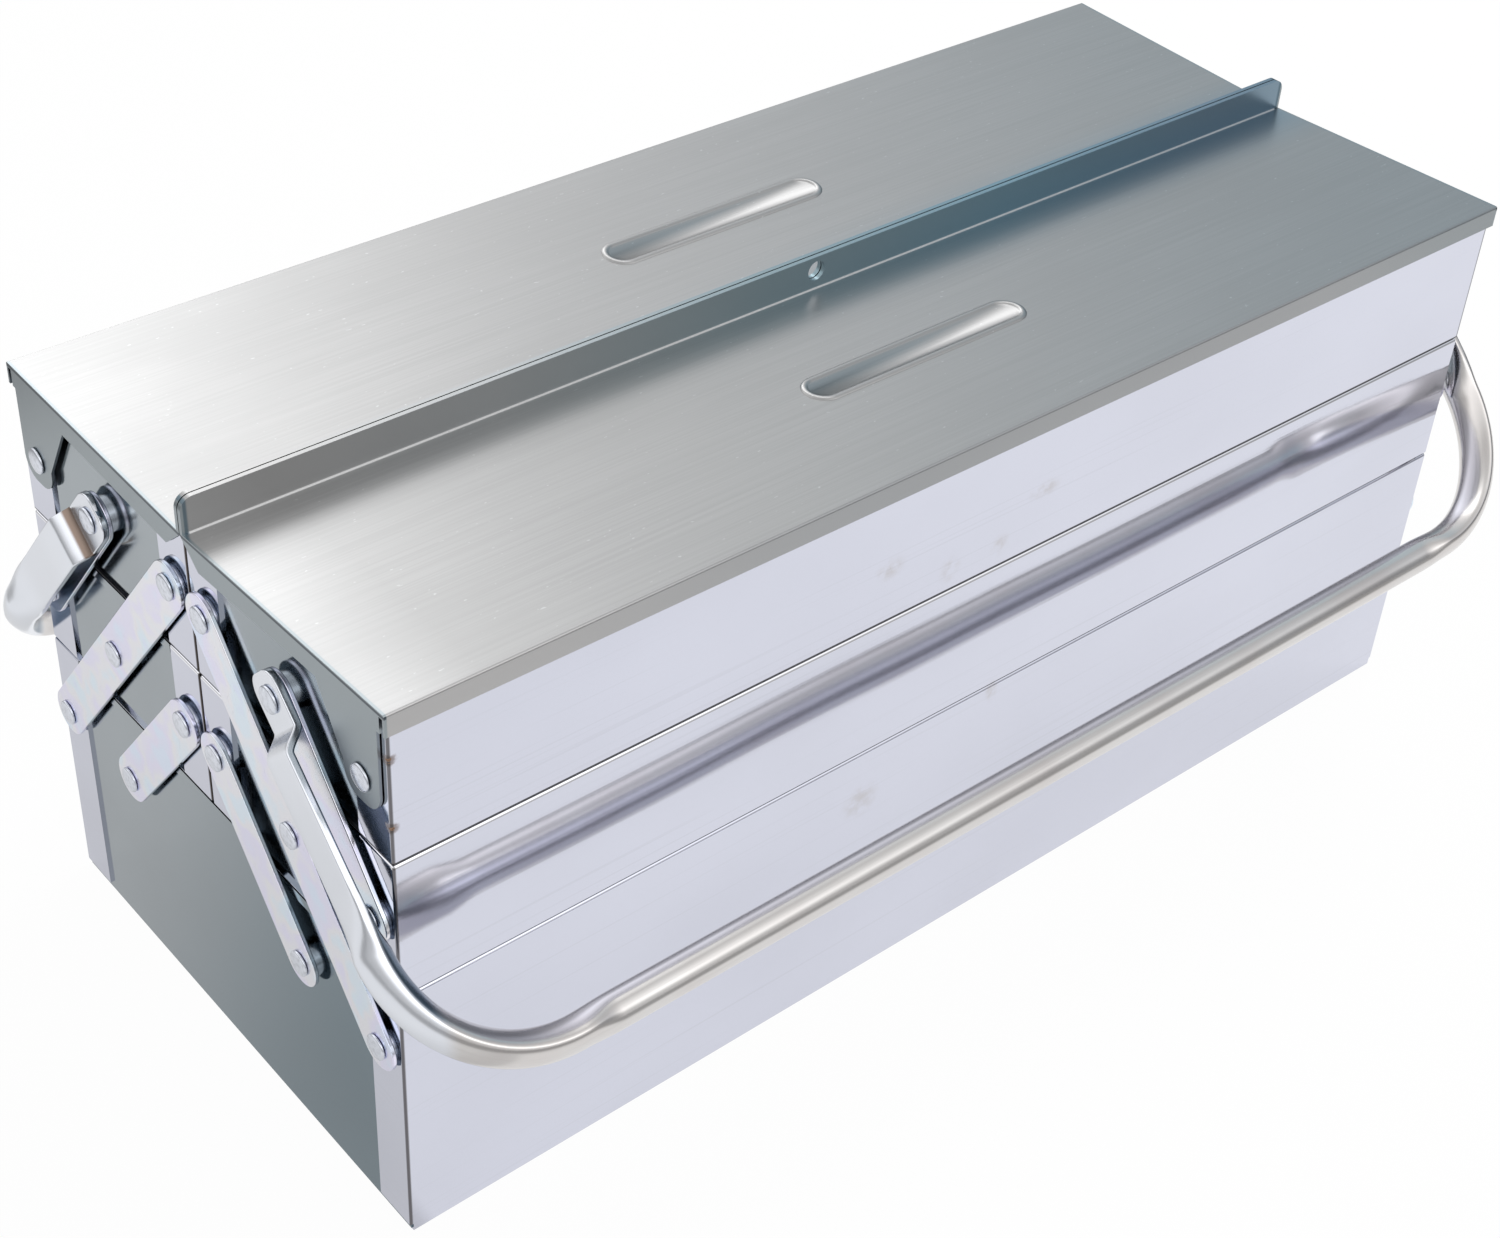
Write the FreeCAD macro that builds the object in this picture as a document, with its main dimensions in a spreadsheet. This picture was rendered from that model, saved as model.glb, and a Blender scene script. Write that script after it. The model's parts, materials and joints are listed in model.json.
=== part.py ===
import FreeCAD, Part
import math
import os
import re

import Sketcher

# Cantilever tool box of folded sheet steel: one wide bottom tray and, on each side of the
# centre line, a middle tray and a top tray that swing out on flat arms.
# X runs along the box, -Y is the front, Z is up. The origin is the centre of the base.

OUT = "parts"

# Driving dimensions, millimetres.
SIZES = {
    # Box
    "box_length": (430, "outside length over the folded end flanges"),
    "box_depth": (187, "outside depth of the bottom tray"),
    "base_height": (95.4, "height of the bottom tray"),
    "tray_height": (47, "height of a middle tray"),
    "top_tray_cut": (0.5, "how much lower the outer wall of a top tray is than a middle tray's"),
    "lid_fall": (3, "fall of a lid from its outer edge to the centre"),
    "stack_gap": (0.3, "gap between a tray and the one it stands on"),
    "centre_gap": (0.6, "gap between the front and rear trays"),
    "wall": (0.8, "sheet thickness of trays and lids"),
    "flange_margin": (4.5, "width of the end flanges inwards of the lid hinge"),
    "hem_depth": (6, "depth of the folded hem inside a tray rim"),
    "end_hem_depth": (3, "depth of the folded hem on an end plate"),
    "bend_radius": (0.7, "outside radius of the folded corners"),
    "rim_radius": (0.3, "rounding of the hemmed rims inside"),
    "rim_roll": (1.2, "rounding of the hemmed rims outside"),
    "relief_width": (1.2, "width of the corner relief notch in the base"),
    "relief_height": (3.2, "height of the corner relief notch in the base"),
    # Linkage
    "arm_margin": (0.9, "distance from the box's front and centre planes to the arms at rest"),
    "pivot_drop": (23.4, "depth of the bottom tray's pivots below its rim"),
    "rise_margin": (0.6, "extra height between pivots, which lifts the open trays"),
    "arm_width": (15, "width of the flat arms"),
    "arm_thickness": (1.4, "thickness of the flat arms"),
    "arm_edge": (0.3, "rounding of the arm edges"),
    "washer_thickness": (0.8, "thickness of a washer on a flange"),
    "washer_diameter": (11, "outside diameter of the washers"),
    "side_play": (0.1, "play between neighbouring parts on a rivet"),
    "shank_diameter": (4.5, "diameter of the rivet shanks"),
    "shank_fit": (0.05, "radial clearance around a rivet shank"),
    "head_diameter": (8, "diameter of the rivet heads"),
    "head_height": (1.1, "height of the domed rivet heads"),
    "tail_diameter": (7, "diameter of the flattened rivet tails"),
    "tail_height": (1, "height of the flattened rivet tails"),
    "tail_edge": (0.3, "rounding of the rivet tails"),
    # Lids
    "lid_clearance": (0.3, "gap between a lid and its tray"),
    "lid_lift": (2.8, "height of a closed lid over its tray's outer rim, which it turns past"),
    "skirt_depth": (7, "depth of the lid's front skirt"),
    "end_flange_depth": (8, "depth of the lid's end flanges"),
    "end_flange_cut": (8, "length of the slanted cut at the inner end of an end flange"),
    "upstand_height": (11, "height of the ridge along the lid's inner edge"),
    "upstand_thickness": (1.4, "thickness of the folded ridge"),
    "upstand_gap": (0.4, "gap between the two ridges"),
    "upstand_corner": (4, "rounding of the ridge's end corners"),
    "slit_width": (1.5, "gap between the skirt and the end flange"),
    "hinge_drop": (27.1, "depth of the lid hinge below the lid's outer edge"),
    "ear_radius": (8, "half width of the hinge ear at the rivet"),
    "ear_margin": (1.3, "distance between the slit and the hinge ear"),
    "ear_spread": (11, "further width of the ear where it meets the flange"),
    "ear_rounding": (6.5, "rounding of the ear's lower corners"),
    "padlock_bore": (6.5, "diameter of the padlock hole"),
    "padlock_drop": (4.8, "distance from the ridge's top edge to the padlock hole"),
    # Handles
    "handle_tube": (11, "outside diameter of the handle tube"),
    "leg_margin": (0.3, "straight leg past the upper link's end, before the handle's bend"),
    "handle_bend": (42, "bend radius of the handle's corners"),
    "bend_width": (13.6, "width of the tube where bending has flattened it"),
    "bend_thickness": (9, "thickness of the tube where bending has flattened it"),
    "bend_run_out": (12, "length over which the tube gets round again after a bend"),
    "front_handle_angle": (45, "angle of the front handle out of the vertical, in degrees"),
    "rear_handle_angle": (39.5, "angle of the rear handle out of the vertical, in degrees"),
    "strip_thickness": (2.2, "thickness of the flattened handle end"),
    "strip_width": (15, "width of the flattened handle end"),
    "strip_corner": (4, "corner cut of the flattened handle end"),
    "joggle_step": (5, "sideways step of the flattened end"),
    "joggle_start": (9, "distance from the rivet to the start of the step"),
    "joggle_run": (5, "length of the step"),
    "overrun": (2, "overrun of every cut"),
}

# Two places closer than this, in millimetres, are the same place.
SAME_PLACE = 1e-4
# Where the flattened strip of a handle ends, as a share of the leg below the step.
FLAT_LENGTH_SHARE = 0.6
# How the leg changes from strip to bend: share of the way, of the width, of the thickness.
SWELL_SHARES = [(0, 0, 0), (0.4, -0.7, 0.14), (0.75, -0.2, 0.6), (1, 1, 1)]
# How much of its thickness the flattened tube keeps at its edges.
EDGE_SHARE = 0.9

# Places worked out from the driving dimensions.
WORKED = {
    "half_length": "box_length / 2",
    "half_depth": "box_depth / 2",
    "tray_centre": "(box_depth + centre_gap) / 4",
    "tray_inner": "centre_gap / 2",
    "middle_floor": "base_height + stack_gap",
    "middle_rim": "middle_floor + tray_height",
    "top_floor": "middle_rim + stack_gap",
    "top_outer_rim": "top_floor + tray_height - top_tray_cut",
    "pivot_rise": "tray_height + stack_gap + rise_margin",
    "base_pivot_height": "base_height - pivot_drop",
    "middle_pivot_height": "base_pivot_height + pivot_rise",
    "top_pivot_height": "middle_pivot_height + pivot_rise",
    "outer_pivot": "half_depth - arm_width / 2 - arm_margin",
    "inner_pivot": "tray_inner + arm_width / 2 + arm_margin",
    "pivot_spacing": "(outer_pivot - inner_pivot) / 2",
    "arm_pitch": "sqrt(pivot_spacing * pivot_spacing + pivot_rise * pivot_rise)",
    "handle_reach": "arm_pitch + arm_width / 2 + leg_margin + handle_bend",
    "arm_face": "half_length + washer_thickness + side_play",
    "arm_outside": "arm_face + arm_thickness",
    "lid_end": "half_length + lid_clearance + wall",
    "lid_front": "half_depth + lid_clearance + wall",
    "lid_inner": "upstand_gap / 2",
    "lid_outer_top": "top_outer_rim + lid_lift + wall",
    "lid_inner_top": "lid_outer_top - lid_fall",
    "top_inner_rim": "lid_inner_top - wall - lid_clearance",
    "lid_slope": "lid_fall / (lid_front - lid_inner)",
    "hinge_place": "lid_front - wall - slit_width - ear_margin - ear_radius",
    "hinge_height": "lid_outer_top - hinge_drop",
    "flange_width": "half_depth - hinge_place + flange_margin",
    "strip_face": "arm_outside + side_play",
    "leg_place": "strip_face + strip_thickness / 2 + joggle_step",
}

document = FreeCAD.newDocument("cantilever_tool_box")
sheet = document.addObject("Spreadsheet::Sheet", "Sizes")
for row, (name, (value, note)) in enumerate(SIZES.items(), start=1):
    sheet.set(f"A{row}", note)
    sheet.set(f"B{row}", str(value))
    sheet.setAlias(f"B{row}", name)


def linked(text):
    """Turn the plain names in an expression into references to the two sheets."""
    def reference(match):
        word = match.group()
        if word in SIZES:
            return "Sizes." + word
        if word in WORKED:
            return "Worked." + word
        return word
    return re.sub(r"[a-z][a-z_]*", reference, text)


worked = document.addObject("Spreadsheet::Sheet", "Worked")
for row, (name, text) in enumerate(WORKED.items(), start=1):
    worked.set(f"A{row}", name.replace("_", " "))
    own_names = linked(text).replace("Worked.", "")
    worked.set(f"B{row}", "=" + own_names)
    worked.setAlias(f"B{row}", name)
document.recompute()


def number(text):
    """The value of an expression, in millimetres."""
    result = sheet.evalExpression(linked(text))
    return float(getattr(result, "Value", result))


def origin_plane(body, role):
    for item in body.Origin.OriginFeatures:
        if item.Role == role:
            return item
    raise ValueError(role)


def new_body(label):
    body = document.addObject("PartDesign::Body", label)
    body.Label = label
    return body


class Drawing:
    """A sketch on one of a body's own origin planes, dimensioned from the sheets."""

    def __init__(self, body, role="YZ_Plane", offset=None):
        self.sketch = body.newObject("Sketcher::SketchObject", body.Label + "_sketch")
        self.sketch.AttachmentSupport = [(origin_plane(body, role), "")]
        self.sketch.MapMode = "FlatFace"
        if offset is not None:
            self.sketch.setExpression("AttachmentOffset.Base.z", linked(offset))

    def dimension(self, kind, items, text):
        """Add a driving dimension; a negative one is measured the other way round."""
        value = number(text)
        if value < 0:
            items = items[2:] + items[:2]
            value = -value
            text = f"-({text})"
        index = self.sketch.addConstraint(Sketcher.Constraint(kind, *items, value))
        self.sketch.setExpression(f"Constraints[{index}]", linked(text))

    def pin_point(self, geometry, position, across, up):
        """Hold one point at its distances from the sketch's origin."""
        for kind, text, axis in (("DistanceX", across, -2), ("DistanceY", up, -1)):
            if text == "0":
                constraint = Sketcher.Constraint("PointOnObject", geometry, position, axis)
                self.sketch.addConstraint(constraint)
            else:
                self.dimension(kind, (-1, 1, geometry, position), text)

    def polygon(self, points):
        places = [FreeCAD.Vector(number(a), number(b), 0) for a, b in points]
        count = len(points)
        first = self.sketch.GeometryCount
        for index, place in enumerate(places):
            line = Part.LineSegment(place, places[(index + 1) % count])
            self.sketch.addGeometry(line, False)
        for index in range(count):
            following = first + (index + 1) % count
            self.sketch.addConstraint(
                Sketcher.Constraint("Coincident", first + index, 2, following, 1))
        for index, (across, up) in enumerate(points):
            self.pin_point(first + index, 1, across, up)
        return self

    def circle(self, across, up, diameter):
        centre = FreeCAD.Vector(number(across), number(up), 0)
        axis = FreeCAD.Vector(0, 0, 1)
        index = self.sketch.addGeometry(Part.Circle(centre, axis, number(diameter) / 2), False)
        self.pin_point(index, 3, across, up)
        self.measure("Diameter", index, diameter)
        return self

    def slot(self, length, width):
        """A bar with round ends, its end centres on the sketch's upright axis."""
        reach = number(length)
        half = number(width) / 2
        axis = FreeCAD.Vector(0, 0, 1)
        low = Part.Circle(FreeCAD.Vector(0, 0, 0), axis, half)
        high = Part.Circle(FreeCAD.Vector(0, reach, 0), axis, half)
        low_arc = self.sketch.addGeometry(Part.ArcOfCircle(low, math.pi, 2 * math.pi), False)
        high_arc = self.sketch.addGeometry(Part.ArcOfCircle(high, 0, math.pi), False)
        self.pin_point(low_arc, 3, "0", "0")
        self.pin_point(high_arc, 3, "0", length)
        for arc in (low_arc, high_arc):
            self.measure("Diameter", arc, width)
            for end in (1, 2):
                self.sketch.addConstraint(Sketcher.Constraint("Horizontal", arc, end, arc, 3))
        for side, low_end, high_end in ((1, 2, 1), (-1, 1, 2)):
            start = FreeCAD.Vector(side * half, 0, 0)
            finish = FreeCAD.Vector(side * half, reach, 0)
            line = self.sketch.addGeometry(Part.LineSegment(start, finish), False)
            self.sketch.addConstraint(Sketcher.Constraint("Coincident", line, 1, low_arc, low_end))
            self.sketch.addConstraint(Sketcher.Constraint("Coincident", line, 2, high_arc, high_end))
        return self

    def measure(self, kind, geometry, text):
        index = self.sketch.addConstraint(Sketcher.Constraint(kind, geometry, number(text)))
        self.sketch.setExpression(f"Constraints[{index}]", linked(text))


def extrude(body, kind, drawing, length, symmetric):
    feature = body.newObject("PartDesign::" + kind, body.Label + "_" + kind.lower())
    feature.Profile = drawing.sketch
    if symmetric:
        feature.SideType = "Symmetric"
    feature.setExpression("Length", linked(length))
    document.recompute()
    return feature


def pad(body, drawing, length, symmetric=False):
    return extrude(body, "Pad", drawing, length, symmetric)


def pocket(body, drawing, length):
    """Cut a symmetric pocket and make sure that it takes something away."""
    before = body.Shape.Volume
    feature = extrude(body, "Pocket", drawing, length, True)
    if not body.Shape.Volume < before:
        raise ValueError(body.Label + " has a cut that removes nothing")
    return feature


def round_edges(body, chosen, radius):
    """Fillet the straight edges of the body's tip that the test picks."""
    tip = body.Tip
    names = []
    for index, edge in enumerate(tip.Shape.Edges, start=1):
        if len(edge.Vertexes) == 2 and chosen(edge.Vertexes[0].Point, edge.Vertexes[1].Point):
            names.append(f"Edge{index}")
    if not names:
        raise ValueError(body.Label + " has no edge to round")
    fillet = body.newObject("PartDesign::Fillet", body.Label + "_fillet")
    fillet.Base = (tip, names)
    fillet.setExpression("Radius", linked(radius))
    document.recompute()
    return fillet


def near(first, second):
    return abs(first - second) < SAME_PLACE


def along_length(places):
    """Pick edges that run along X through one of the given places in Y and Z."""
    wanted = [(number(y), number(z)) for y, z in places]

    def test(start, end):
        if not (near(start.y, end.y) and near(start.z, end.z)):
            return False
        return any(near(start.y, y) and near(start.z, z) for y, z in wanted)
    return test


def upright_corners(depths):
    """Pick upright edges at the box's ends, at the given places in Y."""
    reach = number("half_length")
    wanted = [number(y) for y in depths]

    def test(start, end):
        if not (near(start.x, end.x) and near(start.y, end.y)):
            return False
        return near(abs(start.x), reach) and any(near(start.y, y) for y in wanted)
    return test


def turn_about_upright(item, turned):
    """The rear half of the box is the front half turned about the upright centre line."""
    if turned:
        item.Placement = FreeCAD.Placement(
            FreeCAD.Vector(0, 0, 0), FreeCAD.Rotation(FreeCAD.Vector(0, 0, 1), 180))


# Trays

def tray_inside(front, back, floor, front_rim, back_rim):
    """Outline of a tray's inside, narrower at the top by the folded hems."""
    return [
        (f"{front} + wall", f"{floor} + wall"),
        (f"{back} - wall", f"{floor} + wall"),
        (f"{back} - wall", f"{back_rim} - hem_depth"),
        (f"{back} - 2 * wall", f"{back_rim} - hem_depth"),
        (f"{back} - 2 * wall", back_rim),
        (f"{front} + 2 * wall", front_rim),
        (f"{front} + 2 * wall", f"{front_rim} - hem_depth"),
        (f"{front} + wall", f"{front_rim} - hem_depth"),
    ]


def tray_shell(label, tray, flange_pivots):
    """Front wall, floor and back wall folded from one sheet, with flanges over the ends."""
    front, back, floor, front_rim, back_rim = tray
    body = new_body(label)
    block = Drawing(body).polygon(
        [(front, floor), (back, floor), (back, back_rim), (front, front_rim)])
    pad(body, block, "box_length", symmetric=True)
    inside = tray_inside(front, back, floor, front_rim, back_rim)
    inside[4] = (inside[4][0], f"{back_rim} + overrun")
    inside[5] = (inside[5][0], f"{front_rim} + overrun")
    pocket(body, Drawing(body).polygon(inside), "box_length - 2 * wall")
    window = Drawing(body).polygon([
        (f"{front} + flange_width", f"{floor} + wall"),
        (f"{back} - flange_width", f"{floor} + wall"),
        (f"{back} - flange_width", f"{back_rim} + overrun"),
        (f"{front} + flange_width", f"{front_rim} + overrun"),
    ])
    pocket(body, window, "box_length + overrun")
    round_edges(body, along_length(((front, front_rim), (back, back_rim))), "rim_roll")
    round_edges(body, upright_corners((front, back)), "bend_radius")
    round_edges(body, along_length(((front, floor), (back, floor))), "bend_radius")
    rim_fall = f"(({front_rim}) - ({back_rim})) * 2 * wall / (({back}) - ({front}))"
    round_edges(body, along_length((
        (f"{front} + 2 * wall", f"{front_rim} - {rim_fall}"),
        (f"{back} - 2 * wall", f"{back_rim} + {rim_fall}"),
    )), "rim_radius")
    holes = Drawing(body)
    for place, height in flange_pivots:
        holes.circle(place, height, "shank_diameter + 2 * shank_fit")
    pocket(body, holes, "box_length + overrun")
    return body


def relieve_base_corners(body):
    """Open the sheet at the four lower corners, where its folds meet."""
    notch = Drawing(body, "XZ_Plane")
    for start, end in (("-half_length", "-half_length + relief_width"),
                       ("half_length - relief_width", "half_length")):
        notch.polygon([(start, "0"), (end, "0"), (end, "relief_height"), (start, "relief_height")])
    pocket(body, notch, "box_depth")


def tray_end(label, tray, pivots, left):
    """End plate inside the flanges, its bare top edge folded outwards as a hem."""
    front, back, floor, front_rim, back_rim = tray
    body = new_body(label)
    inner_face = "-(half_length - 2 * wall)" if left else "half_length - 2 * wall"
    plate_start = "-(half_length - wall)" if left else inner_face
    plate = Drawing(body, offset=plate_start)
    plate.polygon(tray_inside(front, back, floor, front_rim, back_rim))
    pad(body, plate, "wall")
    hem_start = "-half_length" if left else "half_length - wall"
    fall = f"(({front_rim}) - ({back_rim})) * flange_width / (({back}) - ({front}))"
    hem_front = f"{front} + flange_width + lid_clearance"
    hem_back = f"{back} - flange_width - lid_clearance"
    hem = Drawing(body, offset=hem_start)
    hem.polygon([
        (hem_front, f"{front_rim} - {fall} - end_hem_depth"),
        (hem_back, f"{back_rim} + {fall} - end_hem_depth"),
        (hem_back, f"{back_rim} + {fall}"),
        (hem_front, f"{front_rim} - {fall}"),
    ])
    pad(body, hem, "wall")
    holes = Drawing(body)
    for place, height in pivots:
        holes.circle(place, height, "shank_diameter + 2 * shank_fit")
    pocket(body, holes, "box_length")
    return body


BASE = ("-half_depth", "half_depth", "0", "base_height", "base_height")
MIDDLE = ("-half_depth", "-tray_inner", "middle_floor", "middle_rim", "middle_rim")
TOP = ("-half_depth", "-tray_inner", "top_floor", "top_outer_rim", "top_inner_rim")

BASE_PIVOTS = [
    ("-outer_pivot", "base_pivot_height"),
    ("-tray_centre", "base_pivot_height"),
    ("tray_centre", "base_pivot_height"),
    ("outer_pivot", "base_pivot_height"),
]
MIDDLE_PIVOTS = [
    ("-outer_pivot", "middle_pivot_height"),
    ("-tray_centre", "middle_pivot_height"),
    ("-inner_pivot", "middle_pivot_height"),
]
TOP_PIVOTS = [
    ("-tray_centre", "top_pivot_height"),
    ("-inner_pivot", "top_pivot_height"),
]
LID_HINGE = ("-hinge_place", "hinge_height")


# Arms

def flat_arm(label, spans, front, left, low_place, low_height):
    """A flat bar with round ends and a hole at each pivot, leaning in at rest."""
    body = new_body(label)
    pad(body, Drawing(body).slot(f"{spans} * arm_pitch", "arm_width"), "arm_thickness")
    holes = Drawing(body)
    for step in range(spans + 1):
        height = "0" if step == 0 else f"{step} * arm_pitch"
        holes.circle("0", height, "shank_diameter + 2 * shank_fit")
    pocket(body, holes, "4 * arm_thickness")
    outer_faces = [0, number("arm_thickness")]
    half = number("arm_width") / 2

    def outline(start, end):
        flat = near(start.x, end.x) and any(near(start.x, face) for face in outer_faces)
        return flat and near(abs(start.y), half) and near(abs(end.y), half)
    round_edges(body, outline, "arm_edge")
    side = "-" if front else ""
    body.setExpression("Placement.Base.x", linked("-arm_outside" if left else "arm_face"))
    body.setExpression("Placement.Base.y", linked(side + low_place))
    body.setExpression("Placement.Base.z", linked(low_height))
    body.Placement.Rotation = FreeCAD.Rotation(FreeCAD.Vector(1, 0, 0), 1)
    lean = f"{side}atan(pivot_spacing / pivot_rise)"
    body.setExpression("Placement.Rotation.Angle", linked(lean))
    return body


# Rivets and washers

def rivet(label, head_start):
    """A rivet along X, its flat tail inside the box and its domed head outside.

    The returned body is a pattern: the fastener groups are made of its copies.
    """
    body = new_body(label)
    tail_start = "half_length - 2 * wall - tail_height"
    tail_end = "half_length - 2 * wall"
    profile = Drawing(body, "XY_Plane").polygon([
        (tail_start, "0"),
        (f"{head_start} + head_height", "0"),
        (f"{head_start} + head_height", "head_diameter / 6"),
        (f"{head_start} + head_height * 2 / 3", "head_diameter / 3"),
        (f"{head_start} + head_height / 4", "head_diameter / 2"),
        (head_start, "head_diameter / 2"),
        (head_start, "shank_diameter / 2"),
        (tail_end, "shank_diameter / 2"),
        (tail_end, "tail_diameter / 2"),
        (f"{tail_start} + tail_edge", "tail_diameter / 2"),
        (tail_start, "tail_diameter / 2 - tail_edge"),
    ])
    turned = body.newObject("PartDesign::Revolution", label + "_turned")
    turned.Profile = profile.sketch
    turned.ReferenceAxis = (profile.sketch, ["H_Axis"])
    turned.Angle = 360
    document.recompute()
    return body


def washer(label, inner_face):
    """A plain washer that fills the gap between a tray's end and an arm."""
    body = new_body(label)
    ring = Drawing(body, offset=inner_face)
    ring.circle("0", "0", "washer_diameter")
    ring.circle("0", "0", "shank_diameter + 2 * shank_fit")
    pad(body, ring, f"half_length + washer_thickness - ({inner_face})")
    return body


def group(label, pieces):
    """Separate equal solids under one name: each pattern at each place, at both ends."""
    solids = []
    for pattern, places in pieces:
        for place, height in places:
            offset = FreeCAD.Vector(0, number(place), number(height))
            right = pattern.Shape.copy()
            right.translate(offset)
            left = pattern.Shape.mirror(FreeCAD.Vector(0, 0, 0), FreeCAD.Vector(1, 0, 0))
            left.translate(offset)
            solids.extend(left.Solids + right.Solids)
    item = document.addObject("Part::Feature", label)
    item.Label = label
    item.Shape = Part.makeCompound(solids)
    return item


# Lids

def lid(label):
    """A folded lid: top, front skirt, inner ridge, and end flanges with hinge ears."""
    body = new_body(label)
    front = "-lid_front"
    ridge_front = "-(lid_inner + upstand_thickness)"
    ridge_foot = "lid_inner_top + lid_slope * upstand_thickness"
    cut_top = "lid_inner_top - wall"
    flange_low = f"{cut_top} - end_flange_depth + wall"
    ear_outer = "-(hinge_place + ear_radius)"
    ear_inner = "-(hinge_place - ear_radius)"
    ear_root = "-(hinge_place - ear_radius - ear_spread)"
    ear_root_height = "lid_outer_top - end_flange_depth"
    silhouette = Drawing(body).polygon([
        (front, "lid_outer_top - skirt_depth"),
        (front, "lid_outer_top"),
        (ridge_front, ridge_foot),
        (ridge_front, "lid_inner_top + upstand_height"),
        ("-lid_inner", "lid_inner_top + upstand_height"),
        ("-lid_inner", cut_top),
        ("-(lid_inner + end_flange_cut)", flange_low),
        (ear_root, ear_root_height),
        (ear_inner, "hinge_height"),
        (ear_inner, "hinge_height - ear_radius"),
        (ear_outer, "hinge_height - ear_radius"),
        (ear_outer, "lid_outer_top - skirt_depth"),
    ])
    pad(body, silhouette, "2 * lid_end", symmetric=True)
    under = Drawing(body).polygon([
        (f"{front} + wall", "hinge_height - 2 * ear_radius"),
        ("overrun", "hinge_height - 2 * ear_radius"),
        ("overrun", "lid_inner_top - wall - lid_slope * overrun"),
        (f"{front} + wall", "lid_outer_top - wall - lid_slope * wall"),
    ])
    pocket(body, under, "2 * (lid_end - wall)")
    slit = Drawing(body).polygon([
        (f"{front} + wall", "hinge_height"),
        (f"{front} + wall + slit_width", "hinge_height"),
        (f"{front} + wall + slit_width", "lid_outer_top - 2 * wall"),
        (f"{front} + wall", "lid_outer_top - 2 * wall"),
    ])
    pocket(body, slit, "2 * lid_end + overrun")
    round_edges(body, along_length((
        (ear_outer, "hinge_height - ear_radius"),
        (ear_inner, "hinge_height - ear_radius"),
    )), "ear_rounding")
    ridge_top = number("lid_inner_top + upstand_height")

    def ridge_corners(start, end):
        level = near(start.z, ridge_top) and near(end.z, ridge_top)
        return level and near(start.x, end.x)
    round_edges(body, ridge_corners, "upstand_corner")
    round_edges(body, along_length(((front, "lid_outer_top"),)), "bend_radius")
    holes = Drawing(body).circle(*LID_HINGE, "shank_diameter + 2 * shank_fit")
    pocket(body, holes, "2 * lid_end + overrun")
    lock = Drawing(body, "XZ_Plane")
    lock.circle("0", "lid_inner_top + upstand_height - padlock_drop", "padlock_bore")
    pocket(body, lock, "8 * upstand_thickness")
    return body


# Handles

def tube_section(centre, across, width, thickness):
    """Closed outline of the tube, round or flattened across its thickness."""
    half_width = width / 2
    half_thickness = thickness / 2
    if near(width, thickness):
        side = half_width * math.sqrt(0.5)
        corner_y, corner_x = side, side
    else:
        corner_y = half_width - half_thickness
        corner_x = half_thickness * EDGE_SHARE

    def point(x, y):
        return centre + across * x + FreeCAD.Vector(0, y, 0)

    corners = [point(corner_x, -corner_y), point(corner_x, corner_y),
               point(-corner_x, corner_y), point(-corner_x, -corner_y)]
    middles = [point(half_thickness, 0), point(0, half_width),
               point(-half_thickness, 0), point(0, -half_width)]
    edges = []
    for index, middle in enumerate(middles):
        arc = Part.Arc(corners[index], middle, corners[(index + 1) % len(corners)])
        edges.append(arc.toShape())
    return Part.Wire(edges)


def handle_leg():
    """The right leg from its flattened, stepped end to the start of the round bend."""
    thickness = number("strip_thickness")
    width = number("strip_width")
    near_face = number("strip_face")
    step = number("joggle_step")
    start = number("joggle_start")
    finish = start + number("joggle_run")
    tip = width / 2
    straight = number("handle_reach - handle_bend")
    flat_end = finish + (straight - finish) * FLAT_LENGTH_SHARE
    outline = [(0, tip), (0, -start), (step, -finish), (step, -flat_end),
               (step + thickness, -flat_end), (step + thickness, -finish),
               (thickness, -start), (thickness, tip)]
    points = [FreeCAD.Vector(near_face + x, -tip, z) for x, z in outline]
    strip = Part.Face(Part.makePolygon(points + points[:1]))
    strip = strip.extrude(FreeCAD.Vector(0, width, 0))
    corner = number("strip_corner")
    plan = [(-tip, -flat_end), (tip, -flat_end), (tip, tip - corner), (tip - corner, tip),
            (corner - tip, tip), (-tip, tip - corner)]
    plan_points = [FreeCAD.Vector(near_face - thickness, y, z) for y, z in plan]
    plan_face = Part.Face(Part.makePolygon(plan_points + plan_points[:1]))
    strip = strip.common(plan_face.extrude(FreeCAD.Vector(step + 4 * thickness, 0, 0)))
    hole_radius = number("shank_diameter / 2 + shank_fit")
    hole_start = FreeCAD.Vector(near_face - thickness, 0, 0)
    strip = strip.cut(Part.makeCylinder(
        hole_radius, 4 * thickness, hole_start, FreeCAD.Vector(1, 0, 0)))
    place = number("leg_place")
    bend_width = number("bend_width")
    bend_thickness = number("bend_thickness")
    sections = []
    for share, width_share, thickness_share in SWELL_SHARES:
        distance = flat_end + (straight - flat_end) * share
        sections.append(tube_section(
            FreeCAD.Vector(place, 0, -distance),
            FreeCAD.Vector(1, 0, 0),
            width + (bend_width - width) * width_share,
            thickness + (bend_thickness - thickness) * thickness_share))
    swell = Part.makeLoft(sections, True, False)
    return strip.fuse(swell)


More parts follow.
